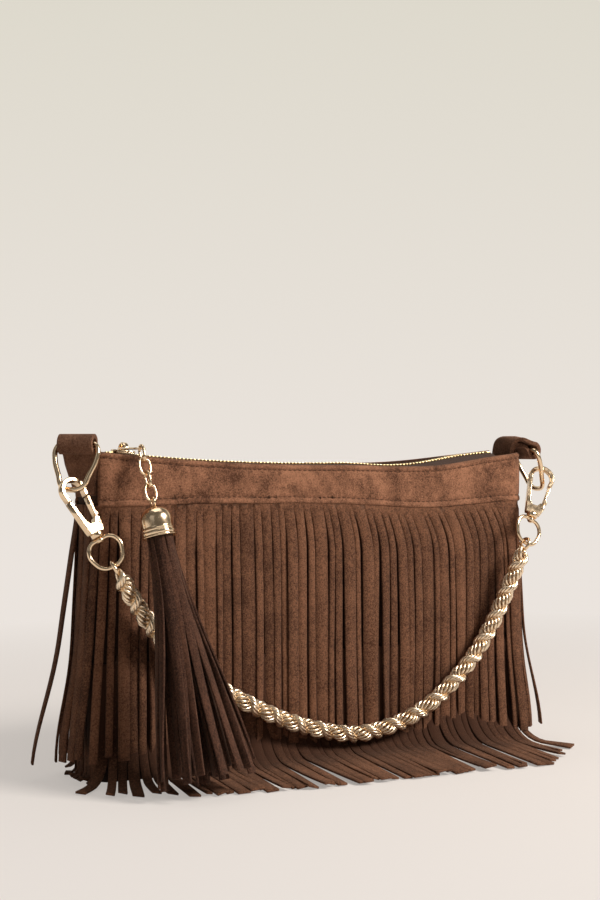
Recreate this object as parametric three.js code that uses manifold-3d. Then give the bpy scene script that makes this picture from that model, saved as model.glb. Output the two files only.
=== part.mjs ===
// A small fringed suede bag: a zipped pouch with two tiers of cut fringe on each face, a tassel on the
// zip pull, and a short rope chain that hangs between two clips. Millimetres, +Z up.
// The front faces -Y, +X is to the right of someone who looks at the front, and the origin is the middle
// of the pouch's base, on the surface that the bag stands on.
import * as THREE from "three";
import { mergeGeometries, mergeVertices } from "three/addons/utils/BufferGeometryUtils.js";
import { ConvexGeometry } from "three/addons/geometries/ConvexGeometry.js";
import Module from "manifold-3d";

const wasm = await Module();
wasm.setup();

// Driving dimensions of the pouch
const bagWidth = 264;
const bagDepth = 34;
const bagHeight = 170.5;
const wall = 2.2;
const gap = 0.3;
const zipSag = 6.3;
const liningWall = 0.8;
const bandHeight = 27;
const bandThick = 1.6;
const gussetDrop = 8;

// Fringe
const stripCount = 40;
const slitWidth = 0.6;
const headerHeight = 6;
const suedeThick = 1.5;
const upperHem = 12.5;
const lowerTop = 62;
const toeReach = 61;
const toeBend = 12;
const tierOverlap = 8;

// Zip
const zipHalf = 121;
const railWidth = 2.4;
const railHeight = 2.6;
const railGap = 1.6;
const tapeThick = 0.8;
const stopLength = 3;
const sliderLength = 12;
const sliderWidth = 9.6;
const sliderPlate = 1.2;
const postLength = 3;
const bailLength = 2.4;
const bailHole = 3;
const bailWall = 1.3;

// Pull chain and tassel
const linkWire = 1.2;
const linkLength = 9.8;
const linkWidth = 6.7;
const hangingLinks = 4;
const pullReach = 6.6;
const capRadius = 8.4;
const capHeight = 16;
const capWall = 1;
const tasselFloorGap = 11.6;
const tasselFoot = 27;
const tasselFlatness = 0.46;
const pullDown = new THREE.Vector3(0.07, -0.36, -0.93).normalize();
const tasselDown = new THREE.Vector3(0.105, -0.25, -0.962).normalize();

// Tabs, rings and clips
const tabWidth = 17.4;
const tabMiddle = -1.5;
const leftCrown = 1.5;
const leftRise = 8;
const rightCrown = 2;
const rightRise = 17;
const strapThick = 2.8;
const ringWire = 2.8;
const ringWidth = 25;
const ringDrop = 24.6;
const clipBar = 3;
const clipThick = 4.2;
const clipHole = 5.3;
const clipLength = 32.4;
const clipBase = 7.5;
const hangGap = 2.7;
const gateThick = 1.8;
const pinRadius = 0.6;
const postRadius = 1.1;
const headRadius = 1.9;
const headHeight = 1.2;
const collarRadius = 3.2;
const collarHeight = 2.5;
const eyeWire = 2.2;
const eyeWidth = 18.8;
const eyeHeight = 17.3;
const endLinkRadius = 3.6;
const endLinkWire = 2;
const ropeClear = 0.8;

// Rope chain: its thickness, and where its middle line hangs in front of the fringe
const ropeThick = 9.6;
const ropeSides = 10;
const ropeSteps = 9;
const ropeRoute = [
  [-114, -30.5, 90],
  [-101, -28, 74],
  [-82, -26.5, 56],
  [-56, -26.2, 40],
  [-28, -26.2, 26.5],
  [0, -26.2, 18],
  [20, -26.2, 15.8],
  [43.6, -26.2, 20],
  [62, -26.2, 28],
  [78, -26.2, 39.5],
  [93, -26.2, 54],
  [105, -26.6, 71],
  [113, -28.6, 88],
];

// Sizes that the rope's route, the loop's gap and the hook's room were drawn for, which stretch with them
const routeWidth = 264;
const routeHeight = 170.5;
const gapSag = 6.3;
const roomWire = 2.8;

// Where each ring's bar sits, which way the bar runs, and how the ring and its clip hang
const leftBar = new THREE.Vector3(-bagWidth / 2 - 9.6, 4 - bagDepth / 2, bagHeight + 4.5);
const leftBarAxis = new THREE.Vector3(0.766, -0.643, 0).normalize();
const leftRingDown = new THREE.Vector3(-5.3, -6.3, -23.5).normalize();
const leftClipDown = new THREE.Vector3(0.40, -0.3, -0.866).normalize();
const leftClipFace = new THREE.Vector3(0.36, -0.933, 0);
const leftEyeTurn = -0.75;
const rightBar = new THREE.Vector3(bagWidth / 2 + 6.8, 4.3 - bagDepth / 2, bagHeight + 1.3);
const rightBarAxis = new THREE.Vector3(0, -1, 0);
const rightRingDown = new THREE.Vector3(0.375, 0, -0.927).normalize();
const rightClipDown = new THREE.Vector3(-0.46, -0.26, -0.85).normalize();
const rightClipFace = new THREE.Vector3(-0.469, -0.883, 0);
const rightEyeTurn = 0.5;

// Worked out from the sizes above
const halfWidth = bagWidth / 2;
const halfDepth = bagDepth / 2;
const zipEnd = bagHeight - 0.5;
const zipMiddle = zipEnd - zipSag;
const arcRadius = (zipHalf ** 2 + zipSag ** 2) / (2 * zipSag);
const arcCentre = zipMiddle + arcRadius;
const arcHeight = (x) => arcCentre - Math.sqrt(arcRadius ** 2 - x ** 2);
const panelInside = halfDepth - wall;
const bandFront = halfDepth + gap + bandThick;
const bandBottom = bagHeight - bandHeight;
const railOut = railGap / 2 + railWidth;

// Finishes
const suede = new THREE.MeshStandardMaterial({ color: 0x6b4a38, roughness: 0.95, metalness: 0 });
const suedeShade = new THREE.MeshStandardMaterial({ color: 0x4d3427, roughness: 0.95, metalness: 0 });
const gold = new THREE.MeshStandardMaterial({ color: 0xe8c98f, roughness: 0.22, metalness: 1 });
const zipGold = new THREE.MeshStandardMaterial({ color: 0xc9a75e, roughness: 0.3, metalness: 1 });
const tapeCloth = new THREE.MeshStandardMaterial({ color: 0x4a3022, roughness: 0.9, metalness: 0 });
const liningCloth = new THREE.MeshStandardMaterial({ color: 0x6e5a49, roughness: 0.8, metalness: 0 });

const bag = new THREE.Group();

function place(name, geometry, material) {
  const mesh = new THREE.Mesh(geometry, material);
  mesh.name = name;
  bag.add(mesh);
  return mesh;
}

// Solids: a closed geometry becomes a solid to join or cut, and comes back as a geometry.
function bare(geometry) {
  const copy = geometry.index ? geometry.toNonIndexed() : geometry.clone();
  return new THREE.BufferGeometry().setAttribute("position", copy.getAttribute("position"));
}

function solidFrom(geometry) {
  const merged = mergeVertices(bare(geometry), 1e-4);
  const mesh = new wasm.Mesh({
    numProp: 3,
    vertProperties: merged.attributes.position.array,
    triVerts: new Uint32Array(merged.index.array),
  });
  return new wasm.Manifold(mesh);
}

function geometryFrom(solid) {
  const mesh = solid.getMesh();
  const position = new THREE.BufferAttribute(new Float32Array(mesh.vertProperties), 3);
  return new THREE.BufferGeometry()
    .setAttribute("position", position)
    .setIndex(new THREE.BufferAttribute(new Uint32Array(mesh.triVerts), 1));
}

function join(first, ...others) {
  const joined = others.reduce((sum, part) => sum.add(solidFrom(part)), solidFrom(first));
  return geometryFrom(joined);
}

function cut(first, ...tools) {
  const left = tools.reduce((rest, tool) => rest.subtract(solidFrom(tool)), solidFrom(first));
  return geometryFrom(left);
}

// Shapes
const alongX = new THREE.Matrix4().makeBasis(
  new THREE.Vector3(0, 1, 0),
  new THREE.Vector3(0, 0, 1),
  new THREE.Vector3(1, 0, 0),
);
const alongY = new THREE.Matrix4().makeBasis(
  new THREE.Vector3(1, 0, 0),
  new THREE.Vector3(0, 0, 1),
  new THREE.Vector3(0, -1, 0),
);

function shapeOf(points) {
  return new THREE.Shape(points.map(([a, b]) => new THREE.Vector2(a, b)));
}

function extrude(shape, depth, curveSegments = 12) {
  return new THREE.ExtrudeGeometry(shape, { depth, bevelEnabled: false, curveSegments });
}

// An outline in X and Z, extruded from one Y to another
function slabAcross(shape, yFrom, yTo, curveSegments) {
  const length = yTo - yFrom;
  return extrude(shape, length, curveSegments).applyMatrix4(alongY).translate(0, yTo, 0);
}

// A profile in Y and Z, extruded along X about the middle
function runAlong(shape, length) {
  return extrude(shape, length).applyMatrix4(alongX).translate(-length / 2, 0, 0);
}

function block(xFrom, xTo, yFrom, yTo, zFrom, zTo) {
  const box = new THREE.BoxGeometry(xTo - xFrom, yTo - yFrom, zTo - zFrom);
  return box.translate((xFrom + xTo) / 2, (yFrom + yTo) / 2, (zFrom + zTo) / 2);
}

// The outline of a ribbon of even thickness along a line of points
function ribbon(line, thick) {
  const sides = line.map(([a, b], i) => {
    const before = line[Math.max(i - 1, 0)];
    const after = line[Math.min(i + 1, line.length - 1)];
    const run = new THREE.Vector2(after[0] - before[0], after[1] - before[1]).normalize();
    const half = thick / 2;
    return { left: [a - run.y * half, b + run.x * half], right: [a + run.y * half, b - run.x * half] };
  });
  return shapeOf([...sides.map((s) => s.right), ...sides.reverse().map((s) => s.left)]);
}

// A closed ring of round wire through points in its own X and Y plane
function wireRing(points, wire, steps, sides = 8) {
  const line = new THREE.CatmullRomCurve3(
    points.map(([a, b]) => new THREE.Vector3(a, b, 0)),
    true,
  );
  return new THREE.TubeGeometry(line, steps, wire / 2, sides, true);
}

// A frame at a point, with Y up against the hanging direction and Z facing as near as it can to face
function hangingFrame(origin, down, face) {
  const up = down.clone().negate();
  const normal = face.clone().addScaledVector(up, -face.dot(up)).normalize();
  const across = new THREE.Vector3().crossVectors(up, normal);
  return new THREE.Matrix4().makeBasis(across, up, normal).setPosition(origin);
}

// A stretch of the zip's arc, as an outline between two heights above it
function arcStrip(xFrom, xTo, low, high, steps) {
  const xs = Array.from({ length: steps + 1 }, (_, i) => xFrom + ((xTo - xFrom) * i) / steps);
  const under = xs.map((x) => [x, arcHeight(x) + low]);
  const over = xs.map((x) => [x, arcHeight(x) + high]).reverse();
  return shapeOf([...under, ...over]);
}

// Pouch: two panels with a sagging top edge, and a strip that makes the ends and the base
const edgeSteps = 16;

function panelOutline(bottom, high) {
  const xs = Array.from({ length: edgeSteps + 1 }, (_, i) => halfWidth - (bagWidth * i) / edgeSteps);
  const top = xs.map((x) => [x, arcHeight(x) + high]);
  return shapeOf([[-halfWidth, bottom], [halfWidth, bottom], ...top]);
}

const edgeAboveZip = 0.5;
const panelShape = panelOutline(0, edgeAboveZip);
place("front_panel", slabAcross(panelShape, -halfDepth, -panelInside), suedeShade);
place("back_panel", slabAcross(panelShape, panelInside, halfDepth), suedeShade);

const gussetTop = bagHeight - gussetDrop;
const inner = halfWidth - wall;
const gussetShape = shapeOf([
  [-halfWidth, gussetTop],
  [-halfWidth, 0],
  [halfWidth, 0],
  [halfWidth, gussetTop],
  [inner, gussetTop],
  [inner, wall],
  [-inner, wall],
  [-inner, gussetTop],
]);
place("gusset", slabAcross(gussetShape, gap - panelInside, panelInside - gap), suedeShade);

const liningTop = Math.min(gussetTop, zipMiddle - tapeThick / 2 - gap);
const liningX = inner - gap;
const liningY = panelInside - gap;
const liningZ = wall + gap;
const liningHollow = block(
  liningWall - liningX,
  liningX - liningWall,
  liningWall - liningY,
  liningY - liningWall,
  liningZ + liningWall,
  liningTop + wall,
);
const liningBlock = block(-liningX, liningX, -liningY, liningY, liningZ, liningTop);
place("lining", cut(liningBlock, liningHollow), liningCloth);

const bandShape = panelOutline(bandBottom + gap, edgeAboveZip);
place("front_band", slabAcross(bandShape, -bandFront, -halfDepth - gap), suede);
place("back_band", slabAcross(bandShape, halfDepth + gap, bandFront), suede);

// Fringe: each tier is one sheet of suede, slit into strips below an uncut header
const sheetY = halfDepth + gap + suedeThick / 2;
const overlapY = sheetY + suedeThick + 1.5 * gap;
const upperLine = [
  [-sheetY, bandBottom],
  [-overlapY, lowerTop + tierOverlap],
  [-overlapY, upperHem],
];
const lowerLine = [
  [-sheetY, lowerTop],
  [-sheetY, toeBend],
  [-sheetY - toeBend * 0.13, toeBend * 0.47],
  [-sheetY - toeBend * 0.5, toeBend * 0.17],
  [-sheetY - toeBend, suedeThick / 2],
  [-sheetY - toeReach, suedeThick / 2],
];

function fringe(line) {
  const sheet = runAlong(ribbon(line, suedeThick), bagWidth);
  const pitch = bagWidth / stripCount;
  const slitTop = line[0][1] - headerHeight;
  const reach = 2 * (halfDepth + toeReach);
  const slits = [];
  for (let i = 1; i < stripCount; i++) {
    const x = i * pitch - halfWidth;
    slits.push(block(x - slitWidth / 2, x + slitWidth / 2, -reach, 0, -suedeThick, slitTop));
  }
  return cut(sheet, mergeGeometries(slits));
}

const upperTier = fringe(upperLine);
const lowerTier = fringe(lowerLine);
place("front_upper_fringe", upperTier, suede);
place("front_lower_fringe", lowerTier, suede);
place("back_upper_fringe", upperTier.clone().rotateZ(Math.PI), suede);
place("back_lower_fringe", lowerTier.clone().rotateZ(Math.PI), suede);

// Zip: two tapes, two rows of teeth as plain rails on the arc, and the stops at their ends
const railSteps = 20;
const tapeShape = arcStrip(-zipHalf, zipHalf, -tapeThick / 2, tapeThick / 2, railSteps);
place("zip_tape_front", slabAcross(tapeShape, -liningY, -railOut - gap), tapeCloth);
place("zip_tape_back", slabAcross(tapeShape, railOut + gap, liningY), tapeCloth);
const railHalf = railHeight / 2;
const railEnd = zipHalf - stopLength - gap;
const railShape = arcStrip(-railEnd, railEnd, -railHalf, railHalf, railSteps);
place("zip_teeth_front", slabAcross(railShape, -railOut, -railGap / 2), zipGold);
place("zip_teeth_back", slabAcross(railShape, railGap / 2, railOut), zipGold);
const stopShape = arcStrip(railEnd + gap, zipHalf, -railHalf, railHalf, 1);
place("zip_bottom_stop", slabAcross(stopShape, -railOut, railOut), zipGold);
const topStopShape = arcStrip(-zipHalf, -railEnd - gap, -railHalf, railHalf, 1);
place("zip_top_stop_front", slabAcross(topStopShape, -railOut, -railGap / 2), zipGold);
place("zip_top_stop_back", slabAcross(topStopShape, railGap / 2, railOut), zipGold);

// Slider: two plates joined by a post between the rows, flanges beside them, and a bail on top
const sliderHalf = sliderLength / 2;
const sliderX = railEnd - sliderHalf;
const plateLow = railHalf + gap;
const plateHigh = plateLow + sliderPlate;
const sliderSide = sliderWidth / 2;
const flangeFrom = railOut + gap;
const tapeRoom = tapeThick / 2 + gap;

function bailArch() {
  const arch = new THREE.Shape();
  const outside = bailHole + bailWall;
  arch.absarc(0, 0, outside, 0, Math.PI, false);
  arch.absarc(0, 0, bailHole, Math.PI, 0, true);
  return runAlong(arch, bailLength).translate(0, 0, plateHigh - 0.1);
}

const postSide = railGap / 2 - gap;
const intoPlate = plateLow + sliderPlate / 6;
const sliderPieces = [
  block(-sliderHalf, -sliderHalf + postLength, -postSide, postSide, -intoPlate, intoPlate),
];
for (const side of [-1, 1]) {
  const yFrom = side < 0 ? -sliderSide : flangeFrom;
  const yTo = side < 0 ? -flangeFrom : sliderSide;
  const plateFrom = side < 0 ? -plateHigh : plateLow;
  const plateTo = side < 0 ? -plateLow : plateHigh;
  sliderPieces.push(block(-sliderHalf, sliderHalf, -sliderSide, sliderSide, plateFrom, plateTo));
  sliderPieces.push(block(-sliderHalf, sliderHalf, yFrom, yTo, tapeRoom, intoPlate));
  sliderPieces.push(block(-sliderHalf, sliderHalf, yFrom, yTo, -intoPlate, -tapeRoom));
}
const sliderTurn = Math.asin(sliderX / arcRadius);
const slider = join(bailArch(), ...sliderPieces);
slider.translate(0, 0, -arcRadius).rotateY(sliderTurn).translate(0, 0, arcCentre);
place("slider", slider, zipGold);

// Pull: a long loop from the bail over the front edge, then links that hang in front of the band
const wireHalf = linkWire / 2;
const loopLift = plateHigh + gap * (zipSag / gapSag) + wireHalf;
const hook = new THREE.Vector3(-sliderX, -bandFront - pullReach, arcHeight(sliderX) + loopLift);
const loopBack = 0.3;
const loopLine = (hook.y - loopBack) / -2;

function oval(length, width) {
  const long = (length - linkWire) / 2;
  const half = (width - linkWire) / 2;
  const points = [
    [half, long - half],
    [half * 0.72, long - half * 0.28],
    [0, long],
    [-half * 0.72, long - half * 0.28],
    [-half, long - half],
    [-half, half - long],
    [-half * 0.72, half * 0.28 - long],
    [0, -long],
    [half * 0.72, half * 0.28 - long],
    [half, half - long],
  ];
  return wireRing(points, linkWire, 24, 6);
}

const loop = oval(2 * loopLine + linkWire, linkWidth);
loop.translate(hook.x, loopBack - loopLine, hook.z);
place("pull_loop", loop, gold);

const pullFace = new THREE.Vector3(1, 0, 0);
const crossFace = new THREE.Vector3(0, -1, 0);
const seat = linkWire + gap;
const linkPitch = linkLength - 2 * linkWire - gap;
const firstLink = linkLength / 2 - wireHalf - seat;
for (let i = 0; i < hangingLinks; i++) {
  const middle = hook.clone().addScaledVector(pullDown, firstLink + i * linkPitch);
  const frame = hangingFrame(middle, pullDown, i % 2 ? crossFace : pullFace);
  place(`pull_link_${i + 1}`, oval(linkLength, linkWidth).applyMatrix4(frame), gold);
}

// Tassel: a bell cap with an eye on top, and one rolled strip of fringe held inside it
const capEyeRadius = 2.4;
const lastWire = firstLink + (hangingLinks - 1) * linkPitch + linkLength / 2 - wireHalf;
const capEye = hook.clone().addScaledVector(pullDown, lastWire - seat + capEyeRadius);
const capFrame = hangingFrame(capEye, tasselDown, pullFace);
const capTop = -capEyeRadius;
const capFoot = capTop - capHeight;
const capInside = capRadius - capWall;
const capRoof = capFoot + capHeight / 2;
const capSides = 24;

// A profile of radius and height, from the top down, turned round the hanging line
function turned(profile, sides) {
  return new THREE.LatheGeometry(profile.map(([r, h]) => new THREE.Vector2(r, h)).reverse(), sides);
}

const capShell = turned(
  [
    [0, capTop],
    [capRadius * 0.5, capTop - capHeight * 0.06],
    [capRadius * 0.84, capTop - capHeight * 0.21],
    [capRadius * 0.97, capTop - capHeight * 0.44],
    [capRadius * 0.94, capFoot + capHeight * 0.25],
    [capRadius, capFoot + capHeight * 0.2],
    [capRadius * 1.06, capFoot],
    [capInside, capFoot],
    [capInside, capRoof],
    [0, capRoof],
  ],
  capSides,
);
const eyeRing = new THREE.TorusGeometry(capEyeRadius, wireHalf, 6, 16);
place("tassel_cap", join(capShell, eyeRing).applyMatrix4(capFrame), gold);

const strandTop = capRoof - gap;
const strandRadius = capInside - gap;
const strandFoot = (capEye.z - tasselFloorGap) / tasselDown.z;
const strandDrop = capFoot - strandFoot;
const strandSides = 18;
const strands = turned(
  [
    [0, strandTop],
    [strandRadius, strandTop],
    [strandRadius, capFoot - capWall],
    [strandRadius * 1.5, capFoot - strandDrop * 0.18],
    [tasselFoot * 0.72, capFoot - strandDrop * 0.5],
    [tasselFoot, strandFoot],
    [0, strandFoot],
  ],
  strandSides,
);
strands.scale(tasselFlatness, 1, 1).applyMatrix4(capFrame);
place("tassel_strands", strands, suede);

// Tabs: a suede strap folded round the ring's bar, sewn into the top corner of the pouch
const barRoom = ringWire / 2 + gap;
const loopRadius = barRoom + strapThick;

function tab(bar, axis, side, crown, rootRise) {
  const fold = new THREE.Shape();
  fold.absarc(0, 0, loopRadius, 0, 2 * Math.PI, false);
  fold.holes.push(new THREE.Path().absarc(0, 0, barRoom, 0, 2 * Math.PI, true));
  const across = new THREE.Vector3(0, 0, 1);
  const out = new THREE.Vector3().crossVectors(across, axis);
  const frame = new THREE.Matrix4().makeBasis(out, across, axis).setPosition(bar);
  const half = tabWidth / 2;
  const roll = extrude(fold, tabWidth, 10).translate(0, 0, -half).applyMatrix4(frame);
  const hole = new THREE.CylinderGeometry(barRoom, barRoom, 2 * tabWidth, 20);
  hole.rotateX(Math.PI / 2).applyMatrix4(frame);
  const rootX = side * (halfWidth - wall / 2);
  const rootZ = gussetTop + gap;
  const corners = [];
  for (const end of [-half, half]) {
    for (const lift of [-strapThick / 2, strapThick / 2]) {
      const corner = bar.clone().addScaledVector(axis, end);
      corner.z += crown + lift;
      corners.push(corner.addScaledVector(out, -gap));
    }
    for (const x of [rootX - wall, rootX + wall]) {
      corners.push(new THREE.Vector3(x, tabMiddle + end, rootZ));
      corners.push(new THREE.Vector3(x, tabMiddle + end, rootZ + rootRise));
    }
  }
  return cut(join(roll, new ConvexGeometry(corners)), hole);
}

place("left_tab", tab(leftBar, leftBarAxis, -1, leftCrown, leftRise), suede);
place("right_tab", tab(rightBar, rightBarAxis, 1, rightCrown, rightRise), suede);

// Rings, clips and swivel eyes, each in a frame that hangs from the piece above it
const ringHalf = (ringWidth - ringWire) / 2;
const barStraight = tabWidth / 2 + gap;
const ringSide = [
  [barStraight * 0.72, 0],
  [barStraight, 0],
  [ringHalf, ringDrop * -0.1],
  [ringHalf, ringDrop * -0.33],
  [ringHalf * 0.73, ringDrop * -0.69],
  [ringHalf * 0.5, ringDrop * -0.93],
];
const sideHang = ringSide[4];
const ringLine = [
  [0, 0],
  ...ringSide,
  [0, -ringDrop],
  ...ringSide.map(([across, drop]) => [-across, drop]).reverse(),
];

const hookTop = ringWire / 2 + hangGap * (ringWire / roomWire);
const arcMiddle = hookTop - clipHole;
const hookOut = clipHole + clipBar;
const clipFoot = hookTop + clipBar - clipLength;
const holeFoot = clipFoot + clipBase;
const shoulder = hookOut - 1.9;
const footHalf = hookOut - 2.9;
const holeFootHalf = clipHole / 2;
const pivot = new THREE.Vector2(4.7, clipFoot + 4.6);
const slotFloor = 2.5;
const slotFoot = clipFoot + 2;
const slotTop = holeFoot + 0.2;
const slotHalf = gateThick / 2 + gap;
const gateTop = arcMiddle - 4.4;
const tailRadius = 1.3;
const leverReach = 1.2;
const springThick = 0.3;
const eyeTop = clipFoot - collarHeight - gap - eyeWire / 2;

function clipOutline() {
  const outline = new THREE.Shape();
  outline.moveTo(hookOut, arcMiddle);
  outline.absarc(0, arcMiddle, hookOut, 0, Math.PI, false);
  outline.lineTo(-shoulder, holeFoot);
  outline.lineTo(-footHalf, clipFoot);
  outline.lineTo(footHalf, clipFoot);
  outline.lineTo(shoulder, holeFoot);
  outline.closePath();
  const hole = new THREE.Path();
  hole.moveTo(clipHole, arcMiddle);
  hole.lineTo(holeFootHalf, holeFoot);
  hole.lineTo(-holeFootHalf, holeFoot);
  hole.lineTo(-clipHole, arcMiddle);
  hole.absarc(0, arcMiddle, clipHole, Math.PI, 0, true);
  outline.holes.push(hole);
  return outline;
}

// The gate fills the gap in the clip's right leg, from the slot in its base to the tip of the hook
function gateOutline() {
  const gate = new THREE.Shape();
  const along = (w) => (arcMiddle - w) / (arcMiddle - holeFoot);
  const legOut = (w) => hookOut + (shoulder - hookOut) * along(w);
  const legIn = (w) => clipHole + (holeFootHalf - clipHole) * along(w);
  const tip = gateTop - 2 * gap;
  const lever = slotTop + 1;
  gate.moveTo(legOut(tip), tip);
  gate.lineTo(legIn(tip) + gap, tip);
  gate.lineTo(legIn(holeFoot) + 4 * gap, holeFoot);
  gate.absarc(pivot.x, pivot.y, tailRadius, Math.PI, 2 * Math.PI, false);
  gate.lineTo(legOut(lever) + leverReach, lever);
  gate.lineTo(legOut(lever + leverReach), lever + 2 * leverReach);
  gate.closePath();
  const bore = new THREE.Path().absarc(pivot.x, pivot.y, pinRadius + gap, 0, 2 * Math.PI, true);
  gate.holes.push(bore);
  return gate;
}

function rod(radius, from, to, sides = 12) {
  return new THREE.CylinderGeometry(radius, radius, to - from, sides).translate(0, (from + to) / 2, 0);
}

function eyeLoop() {
  const half = (eyeWidth - eyeWire) / 2;
  const drop = eyeHeight - eyeWire;
  const points = [
    [0, 0],
    [half * 0.62, -0.3],
    [half, -drop * 0.27],
    [half * 0.96, -drop * 0.6],
    [half * 0.58, -drop * 0.93],
    [0, -drop],
    [-half * 0.58, -drop * 0.93],
    [-half * 0.96, -drop * 0.6],
    [-half, -drop * 0.27],
    [-half * 0.62, -0.3],
  ];
  return wireRing(points, eyeWire, 30).translate(0, eyeTop, 0);
}

const eyeFoot = eyeTop - (eyeHeight - eyeWire);
const endLinkMiddle = eyeFoot + eyeWire / 2 + gap + endLinkWire / 2 - endLinkRadius;
const ropeStart = endLinkMiddle - endLinkRadius - endLinkWire / 2 - ropeClear;

function clipSet(side, bar, axis, ringDown, contact, clipDown, clipFace, eyeTurn) {
  const ringFace = new THREE.Vector3().crossVectors(axis, ringDown.clone().negate());
  const ringFrame = hangingFrame(bar, ringDown, ringFace);
  place(`${side}_ring`, wireRing(ringLine, ringWire, 36).applyMatrix4(ringFrame), gold);

  const hung = new THREE.Vector3(contact[0], contact[1], 0).applyMatrix4(ringFrame);
  const frame = hangingFrame(hung, clipDown, clipFace);
  const depth = clipThick / 2;
  const plate = extrude(clipOutline(), clipThick, 10).translate(0, 0, -depth);
  const collar = rod(collarRadius, clipFoot - collarHeight, clipFoot + gap, 16);
  const legGap = block(2, 2 * hookOut, slotTop, gateTop, -clipThick, clipThick);
  const slot = block(slotFloor, 2 * hookOut, slotFoot, slotTop + gap, -slotHalf, slotHalf);
  const pinHole = new THREE.CylinderGeometry(pinRadius + gap, pinRadius + gap, 2 * clipThick, 12);
  pinHole.rotateX(Math.PI / 2).translate(pivot.x, pivot.y, 0);
  const swivelBore = rod(postRadius + gap, clipFoot - 2 * collarHeight, holeFoot + gap);
  const recess = rod(headRadius + gap, holeFoot - headHeight - 2 * gap, holeFoot + gap);
  const body = cut(join(plate, collar), legGap, slot, pinHole, swivelBore, recess);
  place(`${side}_clip_body`, body.applyMatrix4(frame), gold);

  const gate = extrude(gateOutline(), gateThick, 8).translate(0, 0, -gateThick / 2);
  place(`${side}_clip_gate`, gate.applyMatrix4(frame), gold);

  const pin = new THREE.CylinderGeometry(pinRadius, pinRadius, clipThick, 10);
  pin.rotateX(Math.PI / 2).translate(pivot.x, pivot.y, 0);
  place(`${side}_gate_pin`, pin.applyMatrix4(frame), gold);

  const leafFrom = slotFloor + gap;
  const leafTo = leafFrom + springThick;
  const leafSide = slotHalf - gap;
  const leaf = block(leafFrom, leafTo, slotFoot + gap, pivot.y + pinRadius, -leafSide, leafSide);
  place(`${side}_gate_spring`, leaf.applyMatrix4(frame), gold);

  const head = rod(headRadius, holeFoot - headHeight - gap, holeFoot - gap);
  const post = rod(postRadius, eyeTop, holeFoot - headHeight);
  const swivel = join(eyeLoop(), post, head).rotateY(eyeTurn);
  place(`${side}_swivel_eye`, swivel.applyMatrix4(frame), gold);

  const link = new THREE.TorusGeometry(endLinkRadius, endLinkWire / 2, 8, 18);
  link.rotateY(Math.PI / 2 + eyeTurn).translate(0, endLinkMiddle, 0);
  place(`${side}_end_link`, link.applyMatrix4(frame), gold);
  return new THREE.Vector3(0, ropeStart, 0).applyMatrix4(frame);
}

const leftEnd = clipSet(
  "left",
  leftBar,
  leftBarAxis,
  leftRingDown,
  [0, -ringDrop],
  leftClipDown,
  leftClipFace,
  leftEyeTurn,
);
const rightEnd = clipSet(
  "right",
  rightBar,
  rightBarAxis,
  rightRingDown,
  sideHang,
  rightClipDown,
  rightClipFace,
  rightEyeTurn,
);

// Rope chain: one hanging curve between the two end links, as two tubes that meet in the middle
const routeWide = bagWidth / routeWidth;
const routeHigh = bagHeight / routeHeight;
const ropeCurve = new THREE.CatmullRomCurve3([
  leftEnd,
  ...ropeRoute.map(([x, y, z]) => new THREE.Vector3(x * routeWide, y, z * routeHigh)),
  rightEnd,
]);

class RopePart extends THREE.Curve {
  constructor(from, to) {
    super();
    this.from = from;
    this.to = to;
  }

  getPoint(t, target = new THREE.Vector3()) {
    return ropeCurve.getPointAt(this.from + (this.to - this.from) * t, target);
  }
}

function ropeTube(from, to) {
  const section = new THREE.Shape();
  section.absarc(0, 0, ropeThick / 2, 0, 2 * Math.PI, false);
  const extrudePath = new RopePart(from, to);
  const curveSegments = ropeSides / 2;
  const options = { steps: ropeSteps, extrudePath, curveSegments, bevelEnabled: false };
  return new THREE.ExtrudeGeometry(section, options);
}

const ropeLength = ropeCurve.getLength();
const halfGap = gap / (2 * ropeLength);
place("rope_chain_left", ropeTube(0, 0.5 - halfGap), gold);
place("rope_chain_right", ropeTube(0.5 + halfGap, 1), gold);

export default bag;
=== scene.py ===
# %% [markdown]
# # A fringed suede bag
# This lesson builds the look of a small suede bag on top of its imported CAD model. The CAD model is the
# frame: it fixes every size, every place and every joint, and nothing here moves it. Each cell makes one
# piece or one finish, says what it is on the real bag, and prints what it made.

# %% Load the frame
import math
import random

import bmesh
import bpy
from mathutils import Matrix, Vector, noise


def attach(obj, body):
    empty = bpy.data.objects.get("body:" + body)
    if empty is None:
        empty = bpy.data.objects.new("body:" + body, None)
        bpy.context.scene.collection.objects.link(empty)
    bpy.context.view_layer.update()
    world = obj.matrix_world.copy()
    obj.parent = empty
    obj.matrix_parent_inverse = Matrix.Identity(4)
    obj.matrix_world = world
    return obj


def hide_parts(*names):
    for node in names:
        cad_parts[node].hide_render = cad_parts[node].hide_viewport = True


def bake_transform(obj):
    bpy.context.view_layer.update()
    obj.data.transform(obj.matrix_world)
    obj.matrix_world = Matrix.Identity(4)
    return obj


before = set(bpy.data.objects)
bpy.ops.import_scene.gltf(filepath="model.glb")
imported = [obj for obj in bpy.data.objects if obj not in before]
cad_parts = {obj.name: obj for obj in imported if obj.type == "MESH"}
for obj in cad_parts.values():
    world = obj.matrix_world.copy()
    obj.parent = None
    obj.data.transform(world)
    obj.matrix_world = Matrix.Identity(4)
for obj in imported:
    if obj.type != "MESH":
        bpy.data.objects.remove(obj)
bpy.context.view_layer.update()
scene = bpy.context.scene
scene.view_settings.view_transform = "Standard"
MM = 0.001

# %% [markdown]
# ## Camera
# The photograph looks at the front from the left, level with the top edge, from nearly a metre away. A
# camera could be placed by eye, but the bag's corners in the picture fix the turn, the distance and the
# lens, so those values are written down once. The frame is taller than wide, so the lens acts on the long
# side.

# %% Camera
CAMERA_PLACE = (-0.4255, -0.7896, 0.172)
CAMERA_TURN = math.radians(-28)
LENS = 64
SENSOR = 36

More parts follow.
